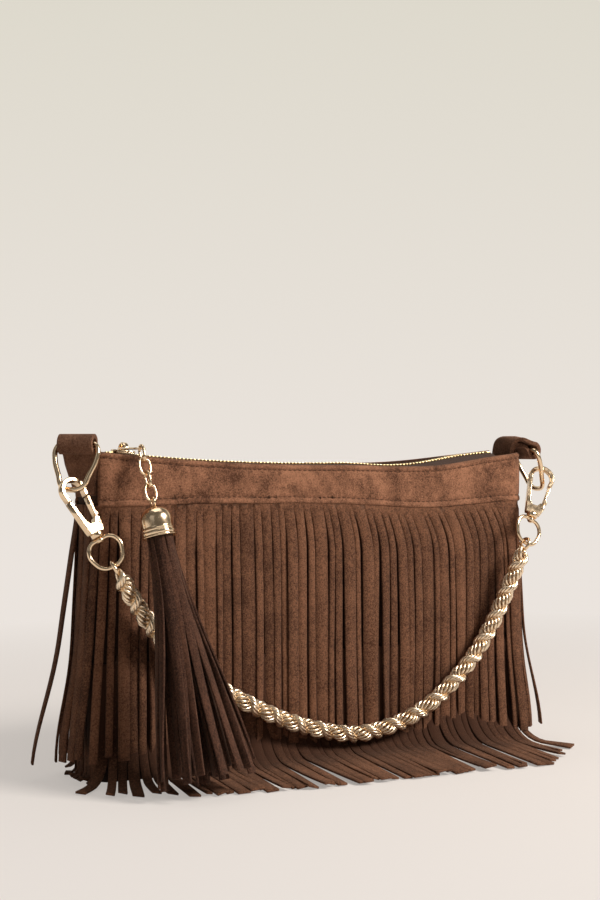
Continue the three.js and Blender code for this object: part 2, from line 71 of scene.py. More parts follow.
lens = bpy.data.cameras.new("view")
lens.lens = LENS
lens.sensor_width = SENSOR
camera = bpy.data.objects.new("view", lens)
camera.location = CAMERA_PLACE
camera.rotation_euler = (math.pi / 2, 0, CAMERA_TURN)
scene.collection.objects.link(camera)
scene.camera = camera
print("camera", LENS, "mm lens")

# %% [markdown]
# ## Helpers for pieces
# Pieces are modelled in millimetres, as on a maker's drawing, and scaled to metres once at the end, so an
# object stays at the origin with its place in its mesh. A round wire and a flat plate both start as
# curves, because a curve can carry a round section or a bevelled edge by itself, and then become plain
# meshes.


# %% Helpers for pieces
SHARP = math.radians(50)


def mesh_of_shape(name, shape):
    """The mesh of a bmesh, with the bmesh freed."""
    mesh = bpy.data.meshes.new(name)
    shape.to_mesh(mesh)
    shape.free()
    return mesh


def finish_piece(name, shape, material, body=None, smooth=True):
    """Turns a bmesh in millimetres into an object in metres that rides on a body."""
    bmesh.ops.scale(shape, vec=(MM, MM, MM), verts=shape.verts)
    mesh = mesh_of_shape(name, shape)
    for face in mesh.polygons:
        face.use_smooth = smooth
    mesh.materials.append(material)
    piece = bpy.data.objects.new(name, mesh)
    scene.collection.objects.link(piece)
    if body:
        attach(piece, body)
    return piece


def give_wall(piece, thick, offset=-1):
    """Gives a sheet of faces a thickness in millimetres, inwards, or to both sides where offset is 0."""
    wall = piece.modifiers.new("thickness", "SOLIDIFY")
    wall.thickness = thick * MM
    wall.offset = offset


def break_edges(piece, width, segments):
    """Bevels the sharp edges of a sheet that has a thickness."""
    edge = piece.modifiers.new("broken edge", "BEVEL")
    edge.width = width * MM
    edge.segments = segments
    edge.limit_method = "ANGLE"
    edge.angle_limit = SHARP


def add_once(shape, mesh, place=None):
    """Adds a mesh to a bmesh, moved by a matrix, and removes the mesh."""
    if place is not None:
        mesh.transform(place)
    shape.from_mesh(mesh)
    bpy.data.meshes.remove(mesh)


def add_mesh(shape, mesh, place=None):
    """Adds a copy of a mesh to a bmesh, moved by a matrix."""
    add_once(shape, mesh.copy(), place)


def mesh_of_curve(curve):
    """The mesh of a curve, with the curve removed."""
    holder = bpy.data.objects.new("drawn", curve)
    scene.collection.objects.link(holder)
    mesh = bpy.data.meshes.new_from_object(holder)
    bpy.data.objects.remove(holder)
    bpy.data.curves.remove(curve)
    return mesh


def add_wire(shape, points, radius, place=None, closed=True, around=3, steps=5):
    """Adds a round wire through points, drawn as a curve with a round section."""
    curve = bpy.data.curves.new("wire", "CURVE")
    curve.dimensions = "3D"
    curve.bevel_depth = radius
    curve.bevel_resolution = around
    curve.resolution_u = steps
    curve.use_fill_caps = not closed
    spline = curve.splines.new("BEZIER")
    spline.bezier_points.add(len(points) - 1)
    for knot, point in zip(spline.bezier_points, points):
        knot.co = point
        knot.handle_left_type = "AUTO"
        knot.handle_right_type = "AUTO"
    spline.use_cyclic_u = closed
    add_once(shape, mesh_of_curve(curve), place)


def add_plate(shape, outlines, thick, edge, place=None):
    """Adds a flat plate with rounded edges. The first outline is its rim and the others are its holes."""
    curve = bpy.data.curves.new("plate", "CURVE")
    curve.dimensions = "2D"
    curve.fill_mode = "BOTH"
    curve.extrude = thick / 2 - edge
    curve.bevel_depth = edge
    curve.bevel_resolution = 2
    curve.offset = -edge
    for outline in outlines:
        spline = curve.splines.new("POLY")
        spline.points.add(len(outline) - 1)
        for knot, (across, up) in zip(spline.points, outline):
            knot.co = (across, up, 0, 1)
        spline.use_cyclic_u = True
    add_once(shape, mesh_of_curve(curve), place)


def add_turned(shape, profile, steps, place=None):
    """Adds a solid of revolution about its own Y axis, from a profile of radius and height."""
    lathe = bmesh.new()
    line = [lathe.verts.new((radius, height, 0)) for radius, height in profile]
    edges = [lathe.edges.new(pair) for pair in zip(line, line[1:])]
    bmesh.ops.spin(
        lathe,
        geom=line + edges,
        cent=(0, 0, 0),
        axis=(0, 1, 0),
        angle=2 * math.pi,
        steps=steps,
        use_merge=True,
    )
    bmesh.ops.remove_doubles(lathe, verts=lathe.verts, dist=1e-4)
    bmesh.ops.recalc_face_normals(lathe, faces=lathe.faces)
    add_once(shape, mesh_of_shape("turned", lathe), place)


def add_block(shape, low, high, edge=0.0, place=None):
    """Adds a box between two corners, with bevelled edges."""
    box = bmesh.new()
    bmesh.ops.create_cube(box, size=1)
    size = [b - a for a, b in zip(low, high)]
    middle = [(a + b) / 2 for a, b in zip(low, high)]
    bmesh.ops.scale(box, vec=size, verts=box.verts)
    bmesh.ops.translate(box, vec=middle, verts=box.verts)
    if edge:
        bmesh.ops.bevel(
            box,
            geom=box.edges[:],
            offset=edge,
            affect="EDGES",
            segments=2,
            profile=0.5,
            material=-1,
        )
    add_once(shape, mesh_of_shape("block", box), place)


def smooth_line(points, per_span):
    """Points along a smooth curve that passes through every given point."""
    knots = [Vector(p) for p in points]
    ends = [2 * knots[0] - knots[1]] + knots + [2 * knots[-1] - knots[-2]]
    line = []
    for i in range(len(knots) - 1):
        a, b, c, d = ends[i : i + 4]
        for k in range(per_span):
            t = k / per_span
            bend = (c - a) * t + (2 * a - 5 * b + 4 * c - d) * t**2 + (3 * b - a - 3 * c + d) * t**3
            line.append(b + bend / 2)
    line.append(knots[-1])
    return line


def walk(line, step):
    """Evenly spaced points and directions along a line."""
    places = []
    due = 0.0
    gone = 0.0
    for a, b in zip(line, line[1:]):
        run = (b - a).length
        while due <= gone + run:
            places.append((a.lerp(b, (due - gone) / run), (b - a).normalized()))
            due += step
        gone += run
    return places


def hanging_frame(origin, down, face):
    """A frame at a point with Y up against the hanging direction and Z facing as near as it can to face."""
    up = -Vector(down).normalized()
    normal = Vector(face)
    normal = (normal - normal.dot(up) * up).normalized()
    across = up.cross(normal)
    place = Matrix((across, up, normal)).transposed().to_4x4()
    place.translation = origin
    return place


def ease(value, low, high):
    """0 below low, 1 above high, and a smooth step between them."""
    t = min(max((value - low) / (high - low), 0), 1)
    return t * t * (3 - 2 * t)


def waver(*place):
    """Smooth noise from -1 to 1 at a place."""
    spot = list(place) + [0.37] * (3 - len(place))
    return noise.noise(Vector(spot))


print("helpers ready")

# %% [markdown]
# ## Sizes that the frame fixes
# The same values as the CAD model, in millimetres: the pouch, the arc that the zip sags along, and how
# each ring and clip hangs. The look has to sit where the solids are, so these are repeated and not
# measured again. One thing is added to the look alone: on the right the front and the zip have slipped
# down by a few millimetres.

# %% Sizes that the frame fixes
HALF_WIDTH = 132.0
HALF_DEPTH = 17.0
CORNER = 6.5
BAND_BOTTOM = 143.5
ARC_RADIUS = 1165.13
ARC_CENTRE = 1328.83
SLIDER_X = -111.7
EVEN_SLIP = 0.4
TOP_SLIP = 3.0
END_SLIP = 0.5
FOOT_SLIP = 4.1
BACK_SLIP = 0.25
ZIP_SLIP = 2.6
ZIP_SLIP_MIDDLE = 60
ZIP_SLIP_HALF = 44


def arc_height(x):
    """Height of the zip at a place along it."""
    return ARC_CENTRE - math.sqrt(ARC_RADIUS**2 - x**2)


def swell(x, middle, width):
    """A smooth bump, 1 at its middle and nearly 0 at twice its width."""
    return math.exp(-(((x - middle) / width) ** 2))


def front_droop(x):
    """How far the front of the opening has slipped down, top edge and foot of its band."""
    top = EVEN_SLIP + TOP_SLIP * swell(x, middle=72, width=38) + END_SLIP * ease(x, 105, 128)
    foot = FOOT_SLIP * swell(x, middle=66, width=50)
    return top, foot


def zip_droop(x):
    """How far the closed zip has sagged with it."""
    return ZIP_SLIP * (1 - min(abs(x - ZIP_SLIP_MIDDLE) / ZIP_SLIP_HALF, 1) ** 2) ** 2


HANGERS = {
    "left": {
        "bar": Vector((-141.6, -13.0, 175.0)),
        "axis": Vector((0.766, -0.643, 0)).normalized(),
        "ring_down": Vector((-5.3, -6.3, -23.5)).normalized(),
        "contact": (0.0, -24.6),
        "clip_down": Vector((0.4, -0.3, -0.866)).normalized(),
        "clip_face": Vector((0.36, -0.933, 0)),
        "eye_turn": -0.75,
    },
    "right": {
        "bar": Vector((138.8, -12.7, 171.8)),
        "axis": Vector((0, -1, 0)),
        "ring_down": Vector((0.375, 0, -0.927)).normalized(),
        "contact": (8.103, -16.974),
        "clip_down": Vector((-0.46, -0.26, -0.85)).normalized(),
        "clip_face": Vector((-0.469, -0.883, 0)),
        "eye_turn": 0.5,
    },
}
ROPE_START = -50.9
for hanger in HANGERS.values():
    ring_face = hanger["axis"].cross(-hanger["ring_down"])
    hanger["ring_frame"] = hanging_frame(hanger["bar"], hanger["ring_down"], ring_face)
    hung = hanger["ring_frame"] @ Vector((*hanger["contact"], 0))
    hanger["clip_frame"] = hanging_frame(hung, hanger["clip_down"], hanger["clip_face"])
    hanger["rope_end"] = hanger["clip_frame"] @ Vector((0, ROPE_START, 0))
    print("rope end", [round(v, 1) for v in hanger["rope_end"]])

# %% [markdown]
# ## Suede, metal and cloth
# Suede has a nap: brushed one way it is paler, the other way darker, so a real piece looks cloudy, with a
# fine grain on top. That effect is used on every suede piece, so it is built once as a node group that
# puts out a colour, a roughness and a height, and each material places it with its own tones. A
# photograph could be wrapped on instead, but noise on Object coordinates works at every scale and from
# every side.


# %% Node helpers
def group_with(name, inputs, outputs):
    """An empty shader node group with named sockets."""
    group = bpy.data.node_groups.new(name, "ShaderNodeTree")
    for label, kind, value in inputs:
        socket = group.interface.new_socket(label, in_out="INPUT", socket_type=kind)
        socket.default_value = value
    for label, kind in outputs:
        group.interface.new_socket(label, in_out="OUTPUT", socket_type=kind)
    return group, group.nodes.new("NodeGroupInput"), group.nodes.new("NodeGroupOutput")


def noise_node(tree, coordinates, scale, detail, roughness=0.5):
    """A noise texture on given coordinates."""
    node = tree.nodes.new("ShaderNodeTexNoise")
    node.inputs["Scale"].default_value = scale
    node.inputs["Detail"].default_value = detail
    node.inputs["Roughness"].default_value = roughness
    tree.links.new(coordinates, node.inputs["Vector"])
    return node.outputs["Fac"]


def spread(tree, value, low, high, to_low=0.0, to_high=1.0):
    """Maps a range of a value onto another range."""
    node = tree.nodes.new("ShaderNodeMapRange")
    for label, number in (("From Min", low), ("From Max", high), ("To Min", to_low), ("To Max", to_high)):
        node.inputs[label].default_value = number
    tree.links.new(value, node.inputs["Value"])
    return node.outputs["Result"]


def sums(tree, operation, a, b):
    """One arithmetic step on two values, each a socket or a number."""
    node = tree.nodes.new("ShaderNodeMath")
    node.operation = operation
    for socket, value in zip(node.inputs, (a, b)):
        if isinstance(value, (int, float)):
            socket.default_value = value
        else:
            tree.links.new(value, socket)
    return node.outputs[0]


def mixed(tree, factor, a, b):
    """Two colours mixed by a factor."""
    node = tree.nodes.new("ShaderNodeMix")
    node.data_type = "RGBA"
    tree.links.new(factor, node.inputs["Factor"])
    for socket, value in zip((node.inputs[6], node.inputs[7]), (a, b)):
        if isinstance(value, tuple):
            socket.default_value = value
        else:
            tree.links.new(value, socket)
    return node.outputs[2]


def new_material(name):
    """A material with its tree and its Principled shader."""
    material = bpy.data.materials.new(name)
    material.use_nodes = True
    tree = material.node_tree
    return material, tree, tree.nodes["Principled BSDF"]


def bumped(tree, height, shader, strength, distance):
    """Feeds a height into a shader's normal."""
    bump = tree.nodes.new("ShaderNodeBump")
    bump.inputs["Strength"].default_value = strength
    bump.inputs["Distance"].default_value = distance
    tree.links.new(height, bump.inputs["Height"])
    tree.links.new(bump.outputs["Normal"], shader.inputs["Normal"])


# %% The nap of suede
CLOUD_SCALE = 60
PATCH_SCALE = 260
GRAIN_SCALE = 1050
FIBRE_SCALE = 4200
PATCH_SHARE = 0.45
BRUSH_LEVEL = 0.69
FIBRE_SHARE = 1.2
nap, nap_in, nap_out = group_with(
    "suede nap",
    [
        ("Place", "NodeSocketVector", (0, 0, 0)),
        ("Brushed dark", "NodeSocketColor", (0.13, 0.06, 0.035, 1)),
        ("Brushed pale", "NodeSocketColor", (0.26, 0.13, 0.08, 1)),
        ("Cloud", "NodeSocketFloat", 0.5),
        ("Grain", "NodeSocketFloat", 2.4),
        ("Tone", "NodeSocketFloat", 0.0),
    ],
    [("Colour", "NodeSocketColor"), ("Roughness", "NodeSocketFloat"), ("Height", "NodeSocketFloat")],
)
place = nap_in.outputs["Place"]
clouds = spread(nap, noise_node(nap, place, CLOUD_SCALE, 3, 0.55), 0.3, 0.7)
patches = spread(nap, noise_node(nap, place, PATCH_SCALE, 2, 0.6), 0.3, 0.7)
grain = noise_node(nap, place, GRAIN_SCALE, 3, 0.75)
fibre = noise_node(nap, place, FIBRE_SCALE, 1, 0.6)
both = sums(nap, "ADD", clouds, sums(nap, "MULTIPLY", patches, PATCH_SHARE))
brushed = sums(nap, "MULTIPLY", both, BRUSH_LEVEL)
centred = sums(nap, "SUBTRACT", brushed, 0.5)
cloudy = sums(nap, "ADD", sums(nap, "MULTIPLY", centred, nap_in.outputs["Cloud"]), 0.5)
speckle = sums(nap, "MULTIPLY", sums(nap, "SUBTRACT", grain, 0.5), nap_in.outputs["Grain"])
fine = sums(nap, "MULTIPLY", sums(nap, "SUBTRACT", fibre, 0.5), FIBRE_SHARE)
tone = sums(nap, "ADD", sums(nap, "ADD", cloudy, speckle), sums(nap, "ADD", fine, nap_in.outputs["Tone"]))
dark_nap = nap_in.outputs["Brushed dark"]
pale_nap = nap_in.outputs["Brushed pale"]
tinted = mixed(nap, spread(nap, tone, 0.0, 1.0), dark_nap, pale_nap)
nap.links.new(tinted, nap_out.inputs["Colour"])
nap.links.new(spread(nap, grain, 0.2, 0.8, 0.84, 1.0), nap_out.inputs["Roughness"])
raised = sums(nap, "ADD", sums(nap, "MULTIPLY", grain, 0.7), sums(nap, "MULTIPLY", fibre, 0.3))
nap.links.new(raised, nap_out.inputs["Height"])


def suede_material(name, dark, pale, cloud, grain=2.4, by_strip=False):
    """Suede with a nap, where a strip's own tone can shift the whole strip and painted shade darkens parts
    of it.
    """
    material, tree, shader = new_material(name)
    group = tree.nodes.new("ShaderNodeGroup")
    group.node_tree = nap
    group.inputs["Brushed dark"].default_value = (*dark, 1)
    group.inputs["Brushed pale"].default_value = (*pale, 1)
    group.inputs["Cloud"].default_value = cloud
    group.inputs["Grain"].default_value = grain
    spots = tree.nodes.new("ShaderNodeTexCoord")
    tree.links.new(spots.outputs["Object"], group.inputs["Place"])
    if by_strip:
        shift = tree.nodes.new("ShaderNodeAttribute")
        shift.attribute_name = "strip_tone_and_painted_shade"
        tree.links.new(shift.outputs["Fac"], group.inputs["Tone"])
    tree.links.new(group.outputs["Colour"], shader.inputs["Base Color"])
    tree.links.new(group.outputs["Roughness"], shader.inputs["Roughness"])
    shader.inputs["Specular IOR Level"].default_value = 0.15
    shader.inputs["Sheen Weight"].default_value = 0.12
    shader.inputs["Sheen Roughness"].default_value = 0.5
    shader.inputs["Sheen Tint"].default_value = (0.75, 0.52, 0.38, 1)
    bumped(tree, group.outputs["Height"], shader, strength=0.7, distance=0.0009)
    return material


# Partly painted light: the band's suede is paler than the fringe's, as the band stands forward in the light
# over the recessed fringe.
band_suede_painted_light = suede_material(
    "band suede with painted light",
    dark=(0.068, 0.027, 0.014),
    pale=(0.36, 0.165, 0.092),
    cloud=1.15,
    grain=2.1,
)
fringe_suede = suede_material(
    "fringe suede",
    dark=(0.05, 0.02, 0.0105),
    pale=(0.25, 0.112, 0.06),
    cloud=0.5,
    grain=2.5,
    by_strip=True,
)
# Partly painted shade: the tassel's suede is darker than the fringe's, standing in for the shade the tassel
# hangs in.
tassel_suede_painted_shade = suede_material(
    "tassel suede with painted shade",
    dark=(0.02, 0.008, 0.005),
    pale=(0.13, 0.057, 0.034),
    cloud=0.4,
    by_strip=True,
)
# Painted shade: the pouch's suede is much darker than the fringe's, so the pouch seen through the slits and
# at the ends reads as shadow.
pouch_suede_painted_shade = suede_material(
    "pouch suede darkened as painted shade",
    dark=(0.014, 0.006, 0.004),
    pale=(0.06, 0.027, 0.016),
    cloud=0.6,
)
print("suede finishes made")

# %% [markdown]
# The fittings are plated in a pale gold and polished, so their look is mostly what they reflect. A little
# noise in the roughness keeps them from looking like liquid. The zip's teeth are a deeper brass. Tape and
# lining are cloth: a fine weave is two wave patterns at right angles. Thread is too thin to show a weave,
# so it gets a dark nap.


# %% Metal, thread and cloth
def metal_material(name, colour, low, high):
    """Polished plate whose roughness wanders between low and high."""
    material, tree, shader = new_material(name)
    shader.inputs["Metallic"].default_value = 1
    spots = tree.nodes.new("ShaderNodeTexCoord")
    worn = noise_node(tree, spots.outputs["Object"], scale=320, detail=4)
    tree.links.new(spread(tree, worn, 0.35, 0.7, low, high), shader.inputs["Roughness"])
    tint = spread(tree, noise_node(tree, spots.outputs["Object"], scale=130, detail=2), 0.3, 0.7)
    shade = tuple(0.9 * c for c in colour)
    tree.links.new(mixed(tree, tint, (*shade, 1), (*colour, 1)), shader.inputs["Base Color"])
    return material


def cloth_material(name, colour, threads):
    """Plain weave from two crossed waves."""
    material, tree, shader = new_material(name)
    spots = tree.nodes.new("ShaderNodeTexCoord")
    weave = None
    for direction in ("X", "Y"):
        wave = tree.nodes.new("ShaderNodeTexWave")
        wave.bands_direction = direction
        wave.inputs["Scale"].default_value = threads
        wave.inputs["Distortion"].default_value = 0.6
        tree.links.new(spots.outputs["Object"], wave.inputs["Vector"])
        weave = wave.outputs["Fac"] if weave is None else sums(tree, "MULTIPLY", weave, wave.outputs["Fac"])
    shade = tuple(0.55 * c for c in colour)
    tree.links.new(mixed(tree, weave, (*shade, 1), (*colour, 1)), shader.inputs["Base Color"])
    shader.inputs["Roughness"].default_value = 0.9
    bumped(tree, weave, shader, strength=0.4, distance=0.0003)
    return material


pale_gold = metal_material("pale gold plate", (0.93, 0.70, 0.46), low=0.14, high=0.28)
# Partly painted light: the rope's plate is a paler copy of the same gold, so the rope reads brighter.
rope_gold_painted_light = metal_material("rope gold plate with painted light", (1.0, 0.80, 0.575), low=0.24, high=0.36)
zip_brass = metal_material("zip brass", (0.62, 0.46, 0.235), low=0.28, high=0.44)
zip_cloth = cloth_material("zip tape", (0.085, 0.042, 0.026), threads=1500)
lining_cloth = cloth_material("lining cloth", (0.16, 0.105, 0.075), threads=1100)
sewing_thread = suede_material(
    "sewing thread",
    dark=(0.03, 0.012, 0.007),
    pale=(0.11, 0.05, 0.03),
    cloud=0.3,
)
print("metal and cloth finishes made")

# %% [markdown]
# ## Rope chain
# The strap is a rope chain: hundreds of small wire rings, each linked through the ones before it, so that
# they pile up into two strands that twist round each other. Linking each ring properly is not needed to
# get that look. A ring that leans over, and leans a little further round the rope each time, draws the
# two twisting strands by itself. One ring is spun once from a small circle and copied along the route,
# which is the route of the CAD solid.

# %% Rope chain
ROPE_ROUTE = [
    (-114, -30.5, 90),
    (-101, -28, 74),
    (-82, -26.5, 56),
    (-56, -26.2, 40),
    (-28, -26.2, 26.5),
    (0, -26.2, 18),
    (20, -26.2, 15.8),
    (43.6, -26.2, 20),
    (62, -26.2, 28),
    (78, -26.2, 39.5),
    (93, -26.2, 54),
    (105, -26.6, 71),
    (113, -28.6, 88),
]
RING_RADIUS = 4.15
RING_WIRE = 0.86
RING_STEP = 1.2
RING_LEAN = math.radians(69)
TWIST_LENGTH = 15.5
TURN_JITTER = 0.03
RING_SIDES = 12
WIRE_SIDES = 5


def rope_ring():
    """One wire ring in the XY plane."""
    shape = bmesh.new()
    bmesh.ops.create_circle(shape, segments=WIRE_SIDES, radius=RING_WIRE)
    bmesh.ops.rotate(shape, matrix=Matrix.Rotation(math.pi / 2, 3, "X"), verts=shape.verts)
    bmesh.ops.translate(shape, vec=(RING_RADIUS, 0, 0), verts=shape.verts)
    bmesh.ops.spin(
        shape,
        geom=shape.verts[:] + shape.edges[:],
        cent=(0, 0, 0),
        axis=(0, 0, 1),
        angle=2 * math.pi,
        steps=RING_SIDES,
        use_merge=True,
    )
    bmesh.ops.remove_doubles(shape, verts=shape.verts, dist=1e-4)
    bmesh.ops.recalc_face_normals(shape, faces=shape.faces)
    return mesh_of_shape("rope_ring", shape)


ring_mesh = rope_ring()
rope_ends = [HANGERS["left"]["rope_end"], HANGERS["right"]["rope_end"]]
rope_line = smooth_line([rope_ends[0]] + ROPE_ROUTE + [rope_ends[1]], per_span=24)
rope_steps = walk(rope_line, RING_STEP)
half_way = len(rope_steps) // 2
dice = random.Random(4)


def rope_half(name, steps, first, body):
    """Half of the rope, with its rings in one mesh."""
    shape = bmesh.new()
    for i, (point, along) in enumerate(steps):
        side = along.cross(Vector((0, 1, 0))).normalized()
        front = along.cross(side)
        turn = 2 * math.pi * (first + i) * RING_STEP / TWIST_LENGTH
        turn += dice.uniform(-TURN_JITTER, TURN_JITTER)
        lean = side * math.cos(turn) + front * math.sin(turn)
        facing = along * math.cos(RING_LEAN) + lean * math.sin(RING_LEAN)
        place = Vector((0, 0, 1)).rotation_difference(facing).to_matrix().to_4x4()
        place.translation = point
        add_mesh(shape, ring_mesh, place)
    piece = finish_piece(name, shape, rope_gold_painted_light)
    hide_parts("rope_chain_" + body.split("_")[0])
    points = [point for point, along in steps[::2]] + [steps[-1][0]]
    path = [tuple(MM * v for v in point) for point in points]
    length = sum((Vector(b) - Vector(a)).length for a, b in zip(path, path[1:]))
    if body.startswith("right"):
        path.reverse()
    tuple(path[0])
    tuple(path[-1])
    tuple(path[0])
    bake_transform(piece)
    print(name, len(steps), "rings,", round(length, 3), "m")


rope_half("rope_left", rope_steps[: half_way + 1], 0, "left_hanger")
rope_half("rope_right", rope_steps[half_way:], half_way, "right_hanger")

# %% [markdown]
# ## Pouch
# Under the fringe the bag is a soft pouch: two faces and a narrow strip for the ends and the base. It
# could be six plates, but a real one is round at its corners and sags, so it is lofted: a ring of points
# in the shape of the base is pulled up step by step, each ring a little different, until the last one
# follows the sagging zip. The wall gets its thickness afterwards, from a Solidify modifier.


# %% Pouch
def base_outline(share, half_x, half_y, corner):
    """A point on a rectangle with round corners, at a share of the way round it."""
    straight_x = 2 * (half_x - corner)
    straight_y = 2 * (half_y - corner)
    quarter = math.pi * corner / 2
    runs = [straight_x, quarter, straight_y, quarter] * 2
    left = share * sum(runs)
    turn = 0.0
    point = Vector((corner - half_x, -half_y))
    for i, run in enumerate(runs):
        along = min(left, run)
        facing = Vector((math.cos(turn), math.sin(turn)))
        if i % 2 == 0:
            point = point + facing * along
        else:
            bend = along / corner
            inward = Vector((-facing.y, facing.x))
            point = point + corner * (facing * math.sin(bend) + inward * (1 - math.cos(bend)))
            turn += bend
        left -= along
        if left <= 0:
            break
    return point


def end_drop(x, y):
    """How far the rim dips at the ends of the zip, where the pouch is folded in."""
    return END_DIP * ease(abs(x), 122, 130) * (1 - ease(abs(y), 9, 15))


END_DIP = 8.5
BASE_INSET = 3.0
BASE_HEIGHT = 0.3
RIM_RISE = 0.4
SINK = 0.8
POUCH_WALL = 2.0
LINING_SIZE = (256, 26.6, 158)
LINING_MIDDLE = (0, 0, 82)
LINING_CORNER = 5
LINING_WALL = 0.8
RIM_POINTS = 160
POUCH_LEVELS = (0.0, 1.2, 4, 10, 20, 34, 50, 68, 86, 104, 120, 134, 146, 156, 163, 170)
pouch = bmesh.new()
bmesh.ops.create_circle(pouch, cap_ends=True, segments=RIM_POINTS, radius=1)
rim = sorted(pouch.verts, key=lambda v: math.atan2(v.co.y, v.co.x))
ring_edges = pouch.edges[:]
for level, height in enumerate(POUCH_LEVELS):
    if level:
        grown = bmesh.ops.extrude_edge_only(pouch, edges=ring_edges)["geom"]
        ring_edges = [g for g in grown if isinstance(g, bmesh.types.BMEdge) and g.is_boundary]
        fresh = [g for g in grown if isinstance(g, bmesh.types.BMVert)]
        rim = [min(fresh, key=lambda v: (v.co - old.co).length_squared) for old in rim]
    share_up = height / POUCH_LEVELS[-1]
    inset = BASE_INSET * (1 - ease(height, 0, 6))
    for i, vert in enumerate(rim):
        spot = base_outline(i / RIM_POINTS, HALF_WIDTH - inset, HALF_DEPTH - inset, CORNER)
        seed = 2 if spot.y > 0 else 5
        sink = SINK * waver(spot.x * 0.03, height * 0.04, seed) * ease(abs(spot.x), 132, 60)
        top = arc_height(spot.x) + RIM_RISE - end_drop(spot.x, spot.y)
        top -= front_droop(spot.x)[0] if spot.y < 0 else BACK_SLIP * zip_droop(spot.x)
        inward = spot.y - math.copysign(abs(sink), spot.y)
        vert.co = (spot.x, inward, share_up * top if level else BASE_HEIGHT)
bmesh.ops.recalc_face_normals(pouch, faces=pouch.faces)
pouch_shell = finish_piece("pouch_shell", pouch, pouch_suede_painted_shade, "bag")
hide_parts("front_panel", "back_panel", "gusset")
give_wall(pouch_shell, POUCH_WALL)
print("pouch", len(pouch_shell.data.polygons), "faces")

lining = bmesh.new()
bmesh.ops.create_cube(lining, size=1)
bmesh.ops.delete(lining, geom=[f for f in lining.faces if f.normal.z > 0.5], context="FACES")
bmesh.ops.scale(lining, vec=LINING_SIZE, verts=lining.verts)
bmesh.ops.translate(lining, vec=LINING_MIDDLE, verts=lining.verts)
bmesh.ops.bevel(
    lining,
    geom=[e for e in lining.edges if not e.is_boundary],
    offset=LINING_CORNER,
    affect="EDGES",
    segments=4,
    profile=0.5,
    material=-1,
)
bmesh.ops.recalc_face_normals(lining, faces=lining.faces)
lining_bag = finish_piece("lining_bag", lining, lining_cloth, "bag")
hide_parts("lining")
give_wall(lining_bag, LINING_WALL)
print("lining made")

# %% [markdown]
# ## Bands
# A band of suede runs along the top of each face. Its edges are turned over and sewn down, so both are
# slightly rolled, with a row of stitches beside each roll. It is one grid of faces whose points are moved
# onto that profile. The two rolls are real shape, because a bump in the material would vanish at the
# outline.

# %% Bands
BAND_PROFILE = [
    (0.0, 16.4),
    (0.5, 17.5),
    (1.2, 18.5),
    (2.0, 18.7),
    (2.7, 18.3),
    (3.1, 17.95),
    (3.6, 18.25),
    (4.6, 18.55),
]
BAND_FOOT = [
    (5.2, 18.7),
    (4.2, 18.5),
    (3.7, 18.15),
    (3.2, 18.5),
    (2.4, 19.15),
    (1.4, 19.4),
    (0.6, 19.15),
    (0.0, 18.3),
]
MIDDLE_ROWS = 8
BAND_ROWS = len(BAND_PROFILE) + MIDDLE_ROWS + len(BAND_FOOT)
BAND_COLUMNS = 132
BAND_OUT = 18.6
BAND_SWELL = 0.35
BAND_WALL = 1.1
BAND_OVER = 0.6
END_TUCK = 2.2
STITCH_ROWS = (5, 18)
STITCH_PITCH = 3.1
STITCH_SIZE = (1.15, 0.3, 0.3)
STITCH_PROUD = 0.05
STITCH_MARGIN = 2
FRONT_SEED = 3.0
BACK_SEED = 11.0


def band_height(x, seed):
    """Top and foot of a band at a place along it. Only the front one has slipped down."""
    foot = BAND_BOTTOM - BAND_OVER + 0.7 * waver(x * 0.022, seed) + 0.3 * waver(x * 0.07, seed)
    drop_top, drop_foot = front_droop(x) if seed == FRONT_SEED else (BACK_SLIP * zip_droop(-x), 0)
    return arc_height(x) + BAND_OVER - drop_top, foot - drop_foot


def band_point(x, share, seed):
    """A point on a band, at a share of the way down it."""
    top, foot = band_height(x, seed)
    step = share * (BAND_ROWS - 1)
    first = min(int(step), BAND_ROWS - 2)

    def row(k):
        if k < len(BAND_PROFILE):
            down, out = BAND_PROFILE[k]
            return top - down, out
        if k >= BAND_ROWS - len(BAND_FOOT):
            up, out = BAND_FOOT[k - BAND_ROWS + len(BAND_FOOT)]
            return foot + up, out
        t = (k - len(BAND_PROFILE) + 1) / (MIDDLE_ROWS + 1)
        high = top - BAND_PROFILE[-1][0]
        low = foot + BAND_FOOT[0][0]
        return high + (low - high) * t, BAND_OUT + BAND_SWELL * math.sin(math.pi * t)

    (z_a, out_a), (z_b, out_b) = row(first), row(first + 1)
    t = step - first
    out = out_a + (out_b - out_a) * t + 0.35 * waver(x * 0.03, share * 1.5, seed)
    tuck = END_TUCK * ease(abs(x), 127, 132.5)
    return Vector((x, -(out - tuck), z_a + (z_b - z_a) * t))


